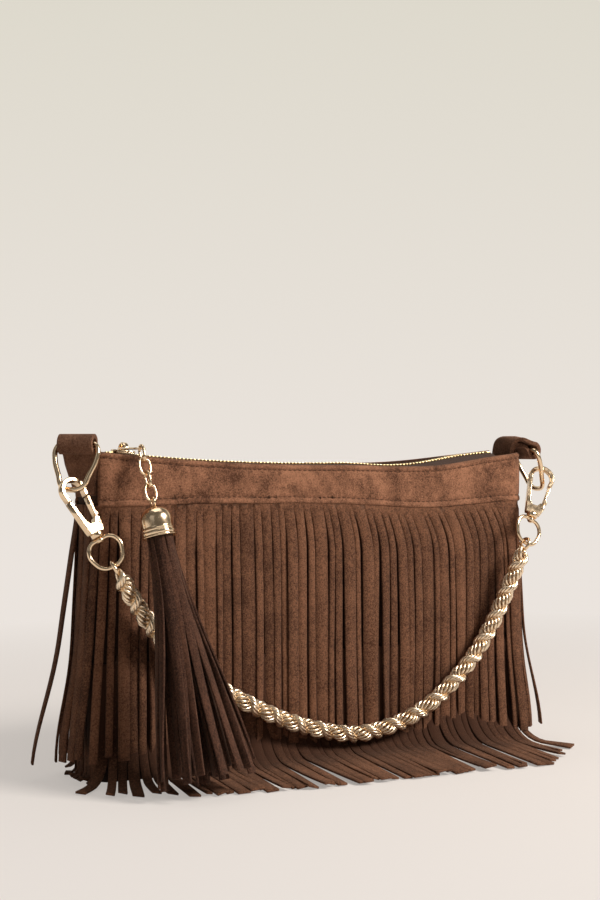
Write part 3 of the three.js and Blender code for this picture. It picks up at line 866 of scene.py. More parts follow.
def sewn_band(name, seed, turned):
    """A band and its two rows of stitches."""
    band = bmesh.new()
    bmesh.ops.create_grid(band, x_segments=BAND_COLUMNS, y_segments=BAND_ROWS - 1, size=0.5)
    for vert in band.verts:
        vert.co = band_point(2 * HALF_WIDTH * vert.co.x, 0.5 - vert.co.y, seed)
    turn = Matrix.Rotation(math.pi if turned else 0, 3, "Z")
    bmesh.ops.rotate(band, matrix=turn, verts=band.verts)
    piece = finish_piece(name, band, band_suede_painted_light, "bag")
    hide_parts(name.replace("_sewn", ""))
    give_wall(piece, BAND_WALL)

    stitch = bmesh.new()
    bmesh.ops.create_uvsphere(stitch, u_segments=6, v_segments=5, radius=1)
    bmesh.ops.rotate(stitch, matrix=Matrix.Rotation(math.pi / 2, 3, "Y"), verts=stitch.verts)
    bmesh.ops.scale(stitch, vec=STITCH_SIZE, verts=stitch.verts)
    one = mesh_of_shape("stitch", stitch)
    rows = bmesh.new()
    count = round(2 * HALF_WIDTH / STITCH_PITCH)
    for stitch_row in STITCH_ROWS:
        share = stitch_row / (BAND_ROWS - 1)
        for k in range(count):
            x = STITCH_MARGIN - HALF_WIDTH + 2 * (HALF_WIDTH - STITCH_MARGIN) * (k + 0.5) / count
            here = band_point(x, share, seed)
            run = band_point(x + 1, share, seed) - here
            spot = Matrix.Rotation(-math.atan2(run.z, run.x), 4, "Y")
            spot.translation = here + Vector((0, -STITCH_PROUD, 0))
            add_mesh(rows, one, spot)
    bmesh.ops.rotate(rows, matrix=turn, verts=rows.verts)
    bpy.data.meshes.remove(one)
    finish_piece(name + "_stitches", rows, sewing_thread, "bag")
    print(name, "with", 2 * count, "stitches")


sewn_band("front_band_sewn", FRONT_SEED, turned=False)
sewn_band("back_band_sewn", BACK_SEED, turned=True)

# %% [markdown]
# ## Fringe
# Each tier of fringe is one sheet of suede, slit into strips from the bottom nearly to the top. It could
# be made of separate strips, but a grid whose edges are split along the slits is what the maker does with
# a knife: the header stays whole. After the cut every strip gets its own lean, twist, length and tone,
# from smooth noise and a seeded dice, so that neighbours stay alike and no two are the same. The
# photograph shows no cloth blowing about, so the strips are placed directly, without a cloth simulation.


# %% Cutting a fringe
STRIP_THICK = 1.15
CUT_EDGE = 0.16
SHEET_OUT = 1.05
TONE_RANGE = (-0.2, 0.12)
EDGE_PAINTED_SHADE = 0.12
STRAIGHT = HALF_WIDTH - CORNER
CORNER_RUN = (CORNER + SHEET_OUT) * math.pi / 2
SHEET_HALF = STRAIGHT + CORNER_RUN + HALF_DEPTH - CORNER - 0.6


def round_pouch(along, out):
    """A place on the pouch's side, its outward direction and its direction along the sheet."""
    over = max(0.0, abs(along) - STRAIGHT)
    angle = math.copysign(min(over / CORNER_RUN, 1) * math.pi / 2, along)
    rest = math.copysign(max(0.0, over - CORNER_RUN), along)
    outward = Vector((math.sin(angle), -math.cos(angle), 0))
    run = Vector((math.cos(angle), math.sin(angle), 0))
    corner = Vector((min(max(along, -STRAIGHT), STRAIGHT), CORNER - HALF_DEPTH, 0))
    return corner + outward * (CORNER + out) + run * rest, outward, run


def cut_fringe(name, node, count, rows, seed, strip_point, turned, shade=0.0):
    """A sheet slit into strips, each point then placed by strip_point(strip, across, down)."""
    sheet = bmesh.new()
    bmesh.ops.create_grid(sheet, x_segments=2 * count, y_segments=rows, size=0.5)
    slits = []
    for edge in sheet.edges:
        a, b = edge.verts
        column = (a.co.x + 0.5) * count
        upright = abs(a.co.x - b.co.x) < 1e-6
        inside = 0.5 < column < count - 0.5
        below = 0.5 - max(a.co.y, b.co.y) > 0.5 / rows
        if upright and inside and below and abs(column - round(column)) < 1e-4:
            slits.append(edge)
    bmesh.ops.split_edges(sheet, edges=slits)
    tone = sheet.verts.layers.float.new("strip_tone_and_painted_shade")
    tone_dice = random.Random(seed + 50)
    tones = [tone_dice.uniform(*TONE_RANGE) for k in range(count)]
    places = {}
    for vert in sheet.verts:
        middle = sum((f.calc_center_median().x for f in vert.link_faces)) / len(vert.link_faces)
        strip = min(max(int((middle + 0.5) * count), 0), count - 1)
        across = ((vert.co.x + 0.5) * count - strip) * 2 - 1
        down = 0.5 - vert.co.y
        # Rows are closer together near the top, where the strips begin to turn.
        down = 0.6 * down + 0.4 * down**2
        places[vert] = strip_point(strip, across, down)
        vert[tone] = tones[strip] * ease(down, 0, 0.1)
        # Painted shade: each strip is darker along its cut edges, standing in for the shadow in the slits.
        vert[tone] -= EDGE_PAINTED_SHADE * abs(across) * ease(down, 0.01, 0.06)
        # Painted shade: the top of a tier is darkened where the tier above hangs over it.
        vert[tone] -= shade * (1 - ease(down, 0.42, 0.8))
    for vert, spot in places.items():
        vert.co = spot
    if turned:
        bmesh.ops.rotate(sheet, matrix=Matrix.Rotation(math.pi, 3, "Z"), verts=sheet.verts)
    piece = finish_piece(name, sheet, fringe_suede, "bag")
    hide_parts(node)
    give_wall(piece, STRIP_THICK, offset=0)
    break_edges(piece, CUT_EDGE, segments=1)
    print(name, count, "strips,", len(slits), "edges cut")


def slit_places(count, seed, jitter):
    """Where the slits start along a sheet, unevenly spaced as when cut by hand."""
    cutter = random.Random(seed)
    pitch = 2 * SHEET_HALF / count
    inner = [-SHEET_HALF + pitch * (k + cutter.uniform(-jitter, jitter)) for k in range(1, count)]
    return [-SHEET_HALF] + inner + [SHEET_HALF]


# %% [markdown]
# The upper tier hangs from under the band to just above the floor and goes round the ends, where it meets
# the tier of the other face. It stays close to the pouch where the rope chain lies on it. Where the front
# has slipped down the strips first slant to the right and then fall straight, and at the ends they swing
# free and splay.

# %% Upper tiers
UPPER_STRIPS = 55
UPPER_ROWS = 30
UPPER_TOP = BAND_BOTTOM - 0.1
HEM = 11.5
HEM_TILT = 2.5
SLIP_LEAN = 8.5
SLIP_SHARE = 0.2
WAVE_LEAN = 2.3
LEFT_SPLAY = -6.0
RIGHT_SPLAY = 3.0
RIGHT_SCATTER = 2.2
HANG_OUT = 1.25
WAVE_OUT = 0.3
LEFT_SWING = 2.5
RIGHT_SWING = 6.5
WAVE_TURN = 0.25
STRAYS = {UPPER_STRIPS - 2: 12, 1: -6}


def upper_tier(name, node, seed, turned):
    """One upper tier. Its strips lean, twist and end a little differently."""
    dice = random.Random(seed)
    cuts = slit_places(UPPER_STRIPS, seed, jitter=0.3)
    sway = [dice.gauss(0, 0.9) for k in range(UPPER_STRIPS)]
    twist = [dice.gauss(0, 0.2) for k in range(UPPER_STRIPS)]
    layer = [dice.uniform(0.2, 0.75) * (1 if k % 2 else -1) for k in range(UPPER_STRIPS)]
    trim = [dice.uniform(-2.2, 2.0) for k in range(UPPER_STRIPS)]
    slim = [dice.choice((0.86, 0.93, 0.95, 0.97, 0.98)) for k in range(UPPER_STRIPS)]
    # Two strips of the back stray so far out that they show past the front.
    loose = STRAYS if turned else {}

    def strip_point(strip, across, down):
        middle = (cuts[strip] + cuts[strip + 1]) / 2
        half = (cuts[strip + 1] - cuts[strip]) / 2
        free = max(0.0, down - 0.02) / 0.98
        hem = HEM - HEM_TILT * middle / HALF_WIDTH + trim[strip]
        left_end = ease(-middle, 92, 134)
        right_end = ease(middle, 78, 132)
        # Sideways: a common wave, the strip's own sway, the slant under the slipped front, and the splay.
        lean = WAVE_LEAN * waver(strip * 0.31, free * 1.1, seed) * free + sway[strip] * free
        slipped = 0 if turned else ease(middle, -75, 85) * (1 - ease(middle, 112, 134))
        lean += SLIP_LEAN * slipped * (1 - (1 - min(free / SLIP_SHARE, 1)) ** 2)
        splay = RIGHT_SPLAY + RIGHT_SCATTER * sway[strip]
        lean += (LEFT_SPLAY * left_end + splay * right_end) * free**1.3
        lean += loose.get(strip, 0) * free
        # Outwards: a little everywhere, and more towards the free ends.
        swing = HANG_OUT * ease(free, 0, 0.5) + WAVE_OUT * waver(strip * 0.5, free * 2.0, seed + 7) * free
        swing += (LEFT_SWING * left_end + RIGHT_SWING * right_end) * ease(free, 0.45, 1.0) ** 1.4
        turn = twist[strip] * ease(free, 0.05, 0.9)
        turn += WAVE_TURN * waver(strip * 0.9, free * 2.2, seed + 3) * free
        width = half * (1 - (1 - slim[strip]) * ease(free, 0, 0.05))
        spot, outward, run = round_pouch(middle, SHEET_OUT + swing + layer[strip] * ease(free, 0, 0.2))
        spot += across * width * (run * math.cos(turn) + outward * math.sin(turn))
        spot.x += lean
        top = UPPER_TOP - (0 if turned else front_droop(middle)[1])
        spot.z = top - down * (top - hem)
        return spot

    cut_fringe(name, node, UPPER_STRIPS, UPPER_ROWS, seed, strip_point, turned)


upper_tier("front_upper_strips", "front_upper_fringe", 21, turned=False)
upper_tier("back_upper_strips", "back_upper_fringe", 34, turned=True)

# %% [markdown]
# The lower tier starts under the upper one and is longer than it needs to be, so its strips bend where
# they meet the floor and lie out on it like toes. At the ends of the bag the toes are short. The top of
# the tier, where the upper tier's ends hang over it, is painted darker as shade.

# %% Lower tiers
LOWER_STRIPS = 55
LOWER_ROWS = 26
LOWER_TOP = 62.0
# How strongly painted shade darkens the top of a lower tier, under the upper tier's ends.
LOWER_PAINTED_SHADE = 0.8
TOE_SLOPE = 0.09
TOE_STEP = 0.25
MIDDLE_BEND = 14
SIDE_BEND = 8
END_BEND = 4.5
LEFT_FAN = 0.4
RIGHT_FAN = 0.2
BACK_FAN = -0.5
WAVE_FAN = 0.04
FLOOR_GAP = 0.75
REACH = 61.0
END_REACH = 5.0


def lower_tier(name, node, seed, turned):
    """One lower tier. Its strips fall, bend and run out to the floor."""
    dice = random.Random(seed)
    cuts = slit_places(LOWER_STRIPS, seed, jitter=0.25)
    reach_jitter = [dice.uniform(-2.5, 2.5) for k in range(LOWER_STRIPS)]
    yaw = [dice.gauss(0, 0.025) for k in range(LOWER_STRIPS)]
    roll = [dice.gauss(0, 0.13) for k in range(LOWER_STRIPS)]
    curl = [max(0, dice.gauss(0.0, 1.0)) for k in range(LOWER_STRIPS)]
    slim = [dice.choice((0.9, 0.95, 0.97, 0.99)) for k in range(LOWER_STRIPS)]

    def strip_point(strip, across, down):
        middle = (cuts[strip] + cuts[strip + 1]) / 2
        half = (cuts[strip + 1] - cuts[strip]) / 2
        left_end = ease(-middle, 85, 127)
        right_end = ease(middle, 95, 129)
        end = ease(abs(middle), STRAIGHT + 1, STRAIGHT + 9)
        # How widely the strip bends at the floor, and how far its toe reaches out from the pouch.
        bend = MIDDLE_BEND + SIDE_BEND * ease(abs(middle - 20), 30, 75)
        bend += (END_BEND - bend) * end
        reach = REACH + reach_jitter[strip] - 9 * ease(-middle, 20, 80) - 17 * left_end
        reach += 5 * ease(middle, 60, 92) - 26 * ease(middle, 98, 130)
        reach -= 26 * ease(abs(middle), 95, 128) if turned else 0
        reach += (END_REACH + 0.5 * reach_jitter[strip] - reach) * end
        slope = TOE_SLOPE * (1 - end)
        fan = yaw[strip] + WAVE_FAN * waver(strip * 0.4, seed + 1)
        fan += (RIGHT_FAN * right_end - LEFT_FAN * left_end) * (1 - end) * (BACK_FAN if turned else 1)
        # The strip falls straight, turns through an arc and runs out at a slope that ends on the floor.
        most = math.pi / 2 - slope
        run_out = (reach - bend * (1 - math.cos(most))) / math.cos(slope)
        foot = FLOOR_GAP + run_out * math.sin(slope)
        fall = LOWER_TOP - foot - bend * math.sin(most)
        gone = down * (fall + bend * most + run_out)
        angle = min(max(gone - fall, 0) / bend, most)
        beyond = max(0, gone - fall - bend * most)
        out = bend * (1 - math.cos(angle)) + beyond * math.cos(slope)
        height = LOWER_TOP - min(gone, fall) - bend * math.sin(angle) - beyond * math.sin(slope)
        flat = beyond / run_out
        height += curl[strip] * flat**2 + (TOE_STEP if strip % 2 else 0.0) * flat
        free = max(0.0, down - 0.02) / 0.98
        width = half * (1 - (1 - slim[strip]) * ease(free, 0, 0.08))
        tilt = roll[strip] * ease(free, 0.1, 0.6)
        tip = abs(math.sin(tilt)) * width * flat
        spot, outward, run = round_pouch(middle, SHEET_OUT)
        turn = fan * ease(angle, 0, math.pi / 2)
        spot += out * (outward * math.cos(fan) + run * math.sin(fan))
        spot += across * width * (run * math.cos(turn) - outward * math.sin(turn))
        spot.z = height + tip + across * width * math.sin(tilt) * flat
        return spot

    cut_fringe(name, node, LOWER_STRIPS, LOWER_ROWS, seed, strip_point, turned, LOWER_PAINTED_SHADE)


lower_tier("front_lower_strips", "front_lower_fringe", 45, turned=False)
lower_tier("back_lower_strips", "back_lower_fringe", 58, turned=True)

# %% [markdown]
# ## Zip
# The zip closes the top: two woven tapes with a row of metal teeth on each. The teeth of the two rows sit
# between each other. One tooth is a small block with broken edges, copied along the sagging line, and the
# tapes are narrow grids bent onto the same line.


# %% Zip tapes and teeth
TOOTH_PITCH = 2.2
TEETH_HALF = 117
TAPE_LENGTH = 242
TAPE_IN = 3.0
TAPE_WIDTH = 12.0
TAPE_DROOP = 1.3
TAPE_WALL = 0.7


def zip_side(name, side):
    """A tape and its row of teeth, on one side of the zip."""
    tape = bmesh.new()
    bmesh.ops.create_grid(tape, x_segments=80, y_segments=6, size=0.5)
    for vert in tape.verts:
        x = TAPE_LENGTH * vert.co.x
        out = TAPE_IN + TAPE_WIDTH * (vert.co.y + 0.5)
        droop = TAPE_DROOP * math.sin(math.pi * (vert.co.y + 0.5)) + 0.25 * waver(x * 0.04, out * 0.2)
        slip = zip_droop(x)
        slip += (front_droop(x)[0] - slip) * ease(out, 3.5, 14) if side < 0 else 0
        vert.co = (x, side * out, arc_height(x) - 0.2 - droop - slip)
    bmesh.ops.recalc_face_normals(tape, faces=tape.faces)
    tape_piece = finish_piece("zip_tape_" + name + "_woven", tape, zip_cloth, "bag")
    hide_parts("zip_tape_" + name)
    give_wall(tape_piece, TAPE_WALL)

    tooth = bmesh.new()
    add_block(tooth, (-0.62, -0.2, -1.25), (0.62, 3.2, 1.35), edge=0.3)
    one = mesh_of_shape("tooth", tooth)
    teeth = bmesh.new()
    count = int(2 * TEETH_HALF / TOOTH_PITCH)
    for k in range(count):
        x = -TEETH_HALF + TOOTH_PITCH * (k + (0.25 if side > 0 else 0.75))
        slope = math.asin(x / ARC_RADIUS)
        spot = Matrix.Translation((x, 0, arc_height(x) - zip_droop(x))) @ Matrix.Rotation(-slope, 4, "Y")
        if side < 0:
            spot = spot @ Matrix.Rotation(math.pi, 4, "Z")
        add_mesh(teeth, one, spot)
    bpy.data.meshes.remove(one)
    row = finish_piece("zip_row_" + name, teeth, zip_brass, "bag", smooth=False)
    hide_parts("zip_teeth_" + name)
    print("zip", name, count, "teeth")


zip_side("front", -1)
zip_side("back", 1)

stops = bmesh.new()
for low, high in (
    ((-121, -3.2), (-118, -0.8)),
    ((-121, 0.8), (-118, 3.2)),
    ((118, -3.2), (121, 3.2)),
):
    z = arc_height((low[0] + high[0]) / 2)
    add_block(stops, (*low, z - 1.3), (*high, z + 1.4), edge=0.5)
stop_piece = finish_piece("zip_stops", stops, zip_brass, "bag", smooth=False)
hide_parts("zip_top_stop_front", "zip_top_stop_back", "zip_bottom_stop")

# %% [markdown]
# The slider is two shaped plates, one above and one below the teeth, with side walls that squeeze the
# rows together and a high round bail on top that holds the pull. The plates are cut from an outline with
# rounded edges, and the bail is a plain arch, cut the same way and stood upright.

# %% Slider
SLIDER_TURN = math.radians(5.501)
PLATE_PLACE = 2.2
PLATE_THICK = 1.2
WALL_PLACE = 4.15
WALL_HALF = 0.5
WALL_LENGTH = 5
BAIL_OUT = 4.3
BAIL_IN = 3.0
BAIL_WIDTH = 3.3
BAIL_FOOT = 2.7
BAIL_STEPS = 24
slider_place = Matrix.Translation((0, 0, ARC_CENTRE)) @ Matrix.Rotation(SLIDER_TURN, 4, "Y")
slider_place = slider_place @ Matrix.Translation((0, 0, -ARC_RADIUS))
slider_outline = [
    (-6, -2.4),
    (-5.2, -3.8),
    (-3, -4.7),
    (3.4, -4.7),
    (5.4, -3.9),
    (6, -2.2),
    (6, 2.2),
    (5.4, 3.9),
    (3.4, 4.7),
    (-3, 4.7),
    (-5.2, 3.8),
    (-6, 2.4),
]
slider = bmesh.new()
for height in (-PLATE_PLACE, PLATE_PLACE):
    add_plate(slider, [slider_outline], PLATE_THICK, edge=0.35, place=Matrix.Translation((0, 0, height)))
for side in (-1, 1):
    near = side * WALL_PLACE - WALL_HALF
    far = side * WALL_PLACE + WALL_HALF
    for low, high in ((0.75, 1.9), (-1.9, -0.75)):
        add_block(slider, (-WALL_LENGTH, near, low), (WALL_LENGTH, far, high), edge=0.2)
bail_angles = [math.pi * k / BAIL_STEPS for k in range(BAIL_STEPS + 1)]
arch = [(BAIL_OUT * math.cos(a), BAIL_OUT * math.sin(a)) for a in bail_angles]
arch += [(BAIL_IN * math.cos(a), BAIL_IN * math.sin(a)) for a in reversed(bail_angles)]
upright = Matrix((Vector((0, 0, 1)), Vector((1, 0, 0)), Vector((0, 1, 0)))).to_4x4()
add_plate(slider, [arch], BAIL_WIDTH, edge=0.6, place=Matrix.Translation((0, 0, BAIL_FOOT)) @ upright)
bmesh.ops.transform(slider, matrix=slider_place, verts=slider.verts)
slider_piece = finish_piece("slider_body", slider, pale_gold, "slider")
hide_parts("slider")
print("slider made")

# %% [markdown]
# ## Pull and tassel
# A long loop goes from the slider over the edge of the bag, and four small links hang from it, each
# turned a quarter against the next. Below them hangs the tassel: a bell cap, turned on a lathe, that
# holds one strip of fringe rolled up. The cap's rim is a stack of plain rings.

# %% Pull
PULL_DOWN = Vector((0.07, -0.36, -0.93)).normalized()
HOOK = Vector((SLIDER_X, -25.5, 172.767))
LOOP_PLACE = (SLIDER_X, -12.6, HOOK.z)
LOOP_LENGTH = 27
LOOP_RADIUS = 0.6
LINK_LENGTH = 9.8
LINK_WIDTH = 6.7
LINK_WIRE = 1.2
LINK_RADIUS = 0.74
LINK_FIRST = 2.8
LINK_STEP = 7.1
LINK_COUNT = 4


def link_points(length, width, wire):
    """The middle line of an oval link."""
    straight = (length - width) / 2
    radius = (width - wire) / 2
    arcs = [(math.pi * k / 6, 1) for k in range(7)] + [(math.pi + math.pi * k / 6, -1) for k in range(7)]
    return [(radius * math.cos(a), radius * math.sin(a) + end * straight, 0) for a, end in arcs]


loop = bmesh.new()
loop_line = link_points(LOOP_LENGTH, LINK_WIDTH, LINK_WIRE)
add_wire(loop, loop_line, LOOP_RADIUS, Matrix.Translation(LOOP_PLACE), around=4)
loop_piece = finish_piece("pull_loop_wire", loop, pale_gold, "pull")
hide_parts("pull_loop")
link_line = link_points(LINK_LENGTH, LINK_WIDTH, LINK_WIRE)
for k in range(LINK_COUNT):
    middle = HOOK + PULL_DOWN * (LINK_FIRST + LINK_STEP * k)
    link = bmesh.new()
    facing = (0, -1, 0) if k % 2 else (1, 0, 0)
    add_wire(link, link_line, LINK_RADIUS, hanging_frame(middle, PULL_DOWN, facing), around=4)
    link_piece = finish_piece("pull_link_wire_" + str(k + 1), link, pale_gold, "pull")
    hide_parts("pull_link_" + str(k + 1))
print("pull loop and", LINK_COUNT, "links")

# %% Tassel cap
TASSEL_DOWN = Vector((0.105, -0.25, -0.962)).normalized()
CAP_EYE = Vector((-109.65, -36.05, 145.51))
DOME_RADIUS = 8.15
DOME_HEIGHT = 7.0
DOME_FOOT = -9.4
DOME_STEPS = 14
CAP_SIDES = 72
EYE_RADIUS = 2.4
EYE_WIRE = 0.6
EYE_POINTS = 10
cap_frame = hanging_frame(CAP_EYE, TASSEL_DOWN, (1, 0, 0))
dome_angles = [math.pi / 2 * k / DOME_STEPS for k in range(1, DOME_STEPS + 1)]
dome = [(0.0, DOME_FOOT + DOME_HEIGHT)]
dome += [(DOME_RADIUS * math.sin(a), DOME_FOOT + DOME_HEIGHT * math.cos(a)) for a in dome_angles]
cap_rim = [
    (8.1, -11.2),
    (7.95, -13.0),
    (7.9, -13.9),
    (8.25, -14.15),
    (8.45, -14.5),
    (8.25, -14.85),
    (8.1, -15.1),
    (8.2, -15.3),
    (8.55, -15.6),
    (8.62, -16.2),
    (8.55, -16.8),
    (8.3, -17.05),
    (8.35, -17.3),
    (8.75, -17.55),
    (9.0, -17.8),
    (9.05, -18.1),
    (8.9, -18.4),
    (7.6, -18.4),
    (7.4, -17.9),
    (7.4, -10.6),
    (0.0, -10.4),
]
cap = bmesh.new()
add_turned(cap, dome + cap_rim, CAP_SIDES)
bmesh.ops.transform(cap, matrix=cap_frame, verts=cap.verts)
eye_angles = [2 * math.pi * k / EYE_POINTS for k in range(EYE_POINTS)]
eye = [(EYE_RADIUS * math.cos(a), EYE_RADIUS * math.sin(a), 0) for a in eye_angles]
add_wire(cap, eye, EYE_WIRE, cap_frame, around=4)
cap_piece = finish_piece("tassel_bell", cap, pale_gold, "tassel")
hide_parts("tassel_cap")
print("tassel cap", len(cap_piece.data.polygons), "faces")

# %% [markdown]
# The tassel's strips come out of the cap packed tight and spread as they fall, wider along the bag than
# across it. Each strip is a narrow grid placed on an oval that grows downwards, in three rings, one
# inside the other.

# %% Tassel strips
STRIP_WIDTH = 4.5
STRAND_TOP = -12.0
STRAND_FOOT = -141.0
STRAND_RINGS = ((1.0, 19), (0.66, 14), (0.3, 6))
STRAND_ROWS = 26
CAP_HOLD = 6.2
SPREAD_WIDE = 19.5
SPREAD_DEEP = 6.0


def tassel_strips(seed):
    """All strips of the tassel in one mesh, each with its own lean, twist, length, tone and painted shade.
    """
    dice = random.Random(seed)
    strips = bmesh.new()
    strips.verts.layers.float.new("strip_tone_and_painted_shade")
    for ring, count in STRAND_RINGS:
        for k in range(count):
            strip = bmesh.new()
            layer = strip.verts.layers.float.new("strip_tone_and_painted_shade")
            bmesh.ops.create_grid(strip, x_segments=2, y_segments=STRAND_ROWS, size=0.5)
            angle = 2 * math.pi * (k + dice.uniform(-0.22, 0.22)) / count
            drift = dice.gauss(0, 0.2)
            twist = dice.gauss(0, 0.75)
            phase = dice.uniform(0, 10)
            foot = STRAND_FOOT + dice.uniform(-3, 5)
            # Random tone, with painted shade: strips of the inner rings are darker, as they hang behind the
            # outer ones.
            shade = dice.uniform(-0.2, 0.05) - 0.1 * (1 - ring)
            push = dice.uniform(0.9, 1.06)
            for vert in strip.verts:
                across = 2 * vert.co.x
                down = 0.5 - vert.co.y
                height = STRAND_TOP + (foot - STRAND_TOP) * down
                fall = ease(down, 0.04, 1.25) * 1.14
                wide = ring * push * (CAP_HOLD + SPREAD_WIDE * fall)
                deep = ring * (CAP_HOLD + SPREAD_DEEP * ease(down, 0.05, 0.8))
                here = angle + drift * down + 0.22 * waver(phase, down * 1.8) * down
                spot = Vector((deep * math.cos(here), height, wide * math.sin(here)))
                run = Vector((-deep * math.sin(here), 0, wide * math.cos(here))).normalized()
                outward = run.cross(Vector((0, 1, 0)))
                turn = twist * ease(down, 0.1, 0.9) + 0.5 * waver(phase + 3, down * 2.2) * down
                side = run * math.cos(turn) + outward * math.sin(turn)
                width = STRIP_WIDTH * (0.42 + 0.58 * ease(down, 0.02, 0.35)) / 2
                vert.co = spot + side * across * width
                # Painted shade: each strip is darker along its edges.
                vert[layer] = shade - 0.08 * abs(across)
            bmesh.ops.recalc_face_normals(strip, faces=strip.faces)
            add_once(strips, mesh_of_shape("strip", strip))
    bmesh.ops.transform(strips, matrix=cap_frame, verts=strips.verts)
    return strips


tassel_piece = finish_piece("tassel_strips", tassel_strips(8), tassel_suede_painted_shade, "tassel")
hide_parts("tassel_strands")
give_wall(tassel_piece, STRIP_THICK, offset=0)
break_edges(tassel_piece, CUT_EDGE, segments=1)
print("tassel", len(tassel_piece.data.polygons), "faces before thickness")

# %% [markdown]
# ## Tabs
# At each top corner a short strap of suede is folded round the bar of a ring and sewn into the seam. It
# is one grid, long enough for both layers: its rows follow the path of the strap and its columns go
# across it. The path turns from the pouch's seam to the slant of the bar, so the strap twists a little,
# as the real one does. Towards the front the two layers are pinched together where they are sewn into the
# seam.

# %% Tabs
TAB_ROLL = 4.2
TAB_WALL = 2.2
TAB_EDGE = 0.45
TAB_SPAN = 5
TAB_COLUMNS = 10
TAB_WAVE = 0.25
TAB_NARROW = 0.05
TAB_PINCH = 0.9
# Partly painted light: the tabs' suede is paler than the fringe's, standing in for light that the lamps do
# not bring to the tabs.
tab_suede_painted_light = suede_material(
    "tab suede with painted light",
    dark=(0.08, 0.035, 0.02),
    pale=(0.28, 0.136, 0.08),
    cloud=0.8,
    grain=2.2,
)


def folded_tab(name, node, axis, path, width):
    """A strap along a path of points, whose direction across goes from the seam's to the bar's."""
    line = smooth_line([p for p, share in path], TAB_SPAN)
    shares = [share for p, share in path]
    strap = bmesh.new()
    bmesh.ops.create_grid(strap, x_segments=TAB_COLUMNS, y_segments=len(line) - 1, size=0.5)
    for vert in strap.verts:
        row = round((0.5 - vert.co.y) * (len(line) - 1))
        first = min(row // TAB_SPAN, len(shares) - 2)
        share = shares[first] + (shares[first + 1] - shares[first]) * (row / TAB_SPAN - first)
        side = Vector((0, -1, 0)).lerp(axis, share).normalized()
        crown = TAB_WAVE * waver(row * 0.3, vert.co.x * 2)
        edge = 1 - TAB_NARROW * (1 - share)
        sewn = TAB_PINCH * ease(vert.co.x, 0.05, 0.45) * (1 - share)
        spot = line[row].lerp((line[row] + line[-1 - row]) / 2, sewn)
        vert.co = spot + side * vert.co.x * width * edge + Vector((0, 0, crown * (1 - share)))
    bmesh.ops.recalc_face_normals(strap, faces=strap.faces)
    piece = finish_piece(name, strap, tab_suede_painted_light, "bag")
    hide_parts(node)
    give_wall(piece, TAB_WALL, offset=0)
    break_edges(piece, TAB_EDGE, segments=2)
    print(name, "with", len(line), "rows")


def bar_point(bar, inward, degrees, radius=TAB_ROLL):
    """A point on the fold round a bar. 0 degrees faces the bag and 90 is on top."""
    angle = math.radians(degrees)
    return bar + radius * (inward * math.cos(angle) + Vector((0, 0, math.sin(angle))))


left_bar = HANGERS["left"]["bar"]
left_axis = HANGERS["left"]["axis"]
left_inward = Vector((0, 0, 1)).cross(left_axis)
left_path = [(Vector((-133.4, -4.5, 148.0)), 0.2), (Vector((-134.2, -5.6, 158.0)), 0.5)]
left_path += [(Vector((-136.2, -8.0, 167.0)), 0.9)]
left_path += [(bar_point(left_bar, left_inward, d), 1.0) for d in (-5, 35, 75, 115, 155, 195, 235, 270)]
left_path += [(bar_point(left_bar, left_inward, 312, 4.6), 1.0), (Vector((-137.9, -9.6, 165.0)), 0.9)]
left_path += [(Vector((-136.1, -7.2, 157.0)), 0.5), (Vector((-135.4, -6.0, 150.0)), 0.2)]
folded_tab("left_strap_tab", "left_tab", left_axis, left_path, width=18.6)

right_bar = HANGERS["right"]["bar"]
right_axis = HANGERS["right"]["axis"]
right_inward = Vector((-1, 0, 0))
right_path = [(Vector((130.4, -1.5, 164.2)), 0.0), (Vector((130.0, -1.6, 171.0)), 0.0)]
right_path += [(Vector((131.0, -3.5, 177.4)), 0.3), (Vector((134.2, -8.0, 179.2)), 0.7)]
right_path += [(bar_point(right_bar, right_inward, d, 4.4), 1.0) for d in (84, 125, 165, 205, 245)]
right_path += [(bar_point(right_bar, right_inward, 290, 3.8), 1.0), (Vector((136.2, -9.4, 173.2)), 0.8)]
right_path += [(Vector((133.2, -4.6, 173.6)), 0.35), (Vector((132.4, -1.7, 170.0)), 0.0)]
right_path += [(Vector((132.7, -1.6, 164.2)), 0.0)]
folded_tab("right_strap_tab", "right_tab", right_axis, right_path, width=17.4)

# %% [markdown]
# ## Rings and clips
# A ring of thick wire hangs in each tab, and a clip hooks over it. The clip is cast flat: a hook with a
# long leg, a base that holds the gate's pin, and a gate that closes the other leg. Its outlines are drawn
# once in the clip's own plane and placed on both sides by the same frames as in the CAD model. Rounded
# edges catch the light, and that is most of what the eye reads as polished metal.

# %% Rings and clips
HOOK_TOP_MIDDLE = -1.2
HOOK_IN = 5.3
HOOK_OUT = 7.7
CLIP_FOOT = -25.3
HOLE_FOOT = -17.8
EYE_TOP = -29.2
END_LINK = -45.5
GATE_PIN = (4.7, -20.7)
HOOK_END = -5.6
LEG_JOIN = -5.5
BASE_TOP = -5.8
GATE_TOP = -6.2
GATE_FOOT = -17.3
TAIL_TOP = -16.8
TAIL_RADIUS = 1.3


def leg_out(height):
    """Outer edge of a leg at a height."""
    return HOOK_OUT - 2.3 * (HOOK_TOP_MIDDLE - height) / (HOOK_TOP_MIDDLE - HOLE_FOOT)


def leg_in(height):
    """Inner edge of a leg at a height."""
    return HOOK_IN - 2.5 * (HOOK_TOP_MIDDLE - height) / (HOOK_TOP_MIDDLE - HOLE_FOOT)


def arc_points(centre, radius, start, stop, steps):
    """Points on an arc, in degrees."""
    angles = [math.radians(start + (stop - start) * k / steps) for k in range(steps + 1)]
    return [(centre[0] + radius * math.cos(a), centre[1] + radius * math.sin(a)) for a in angles]


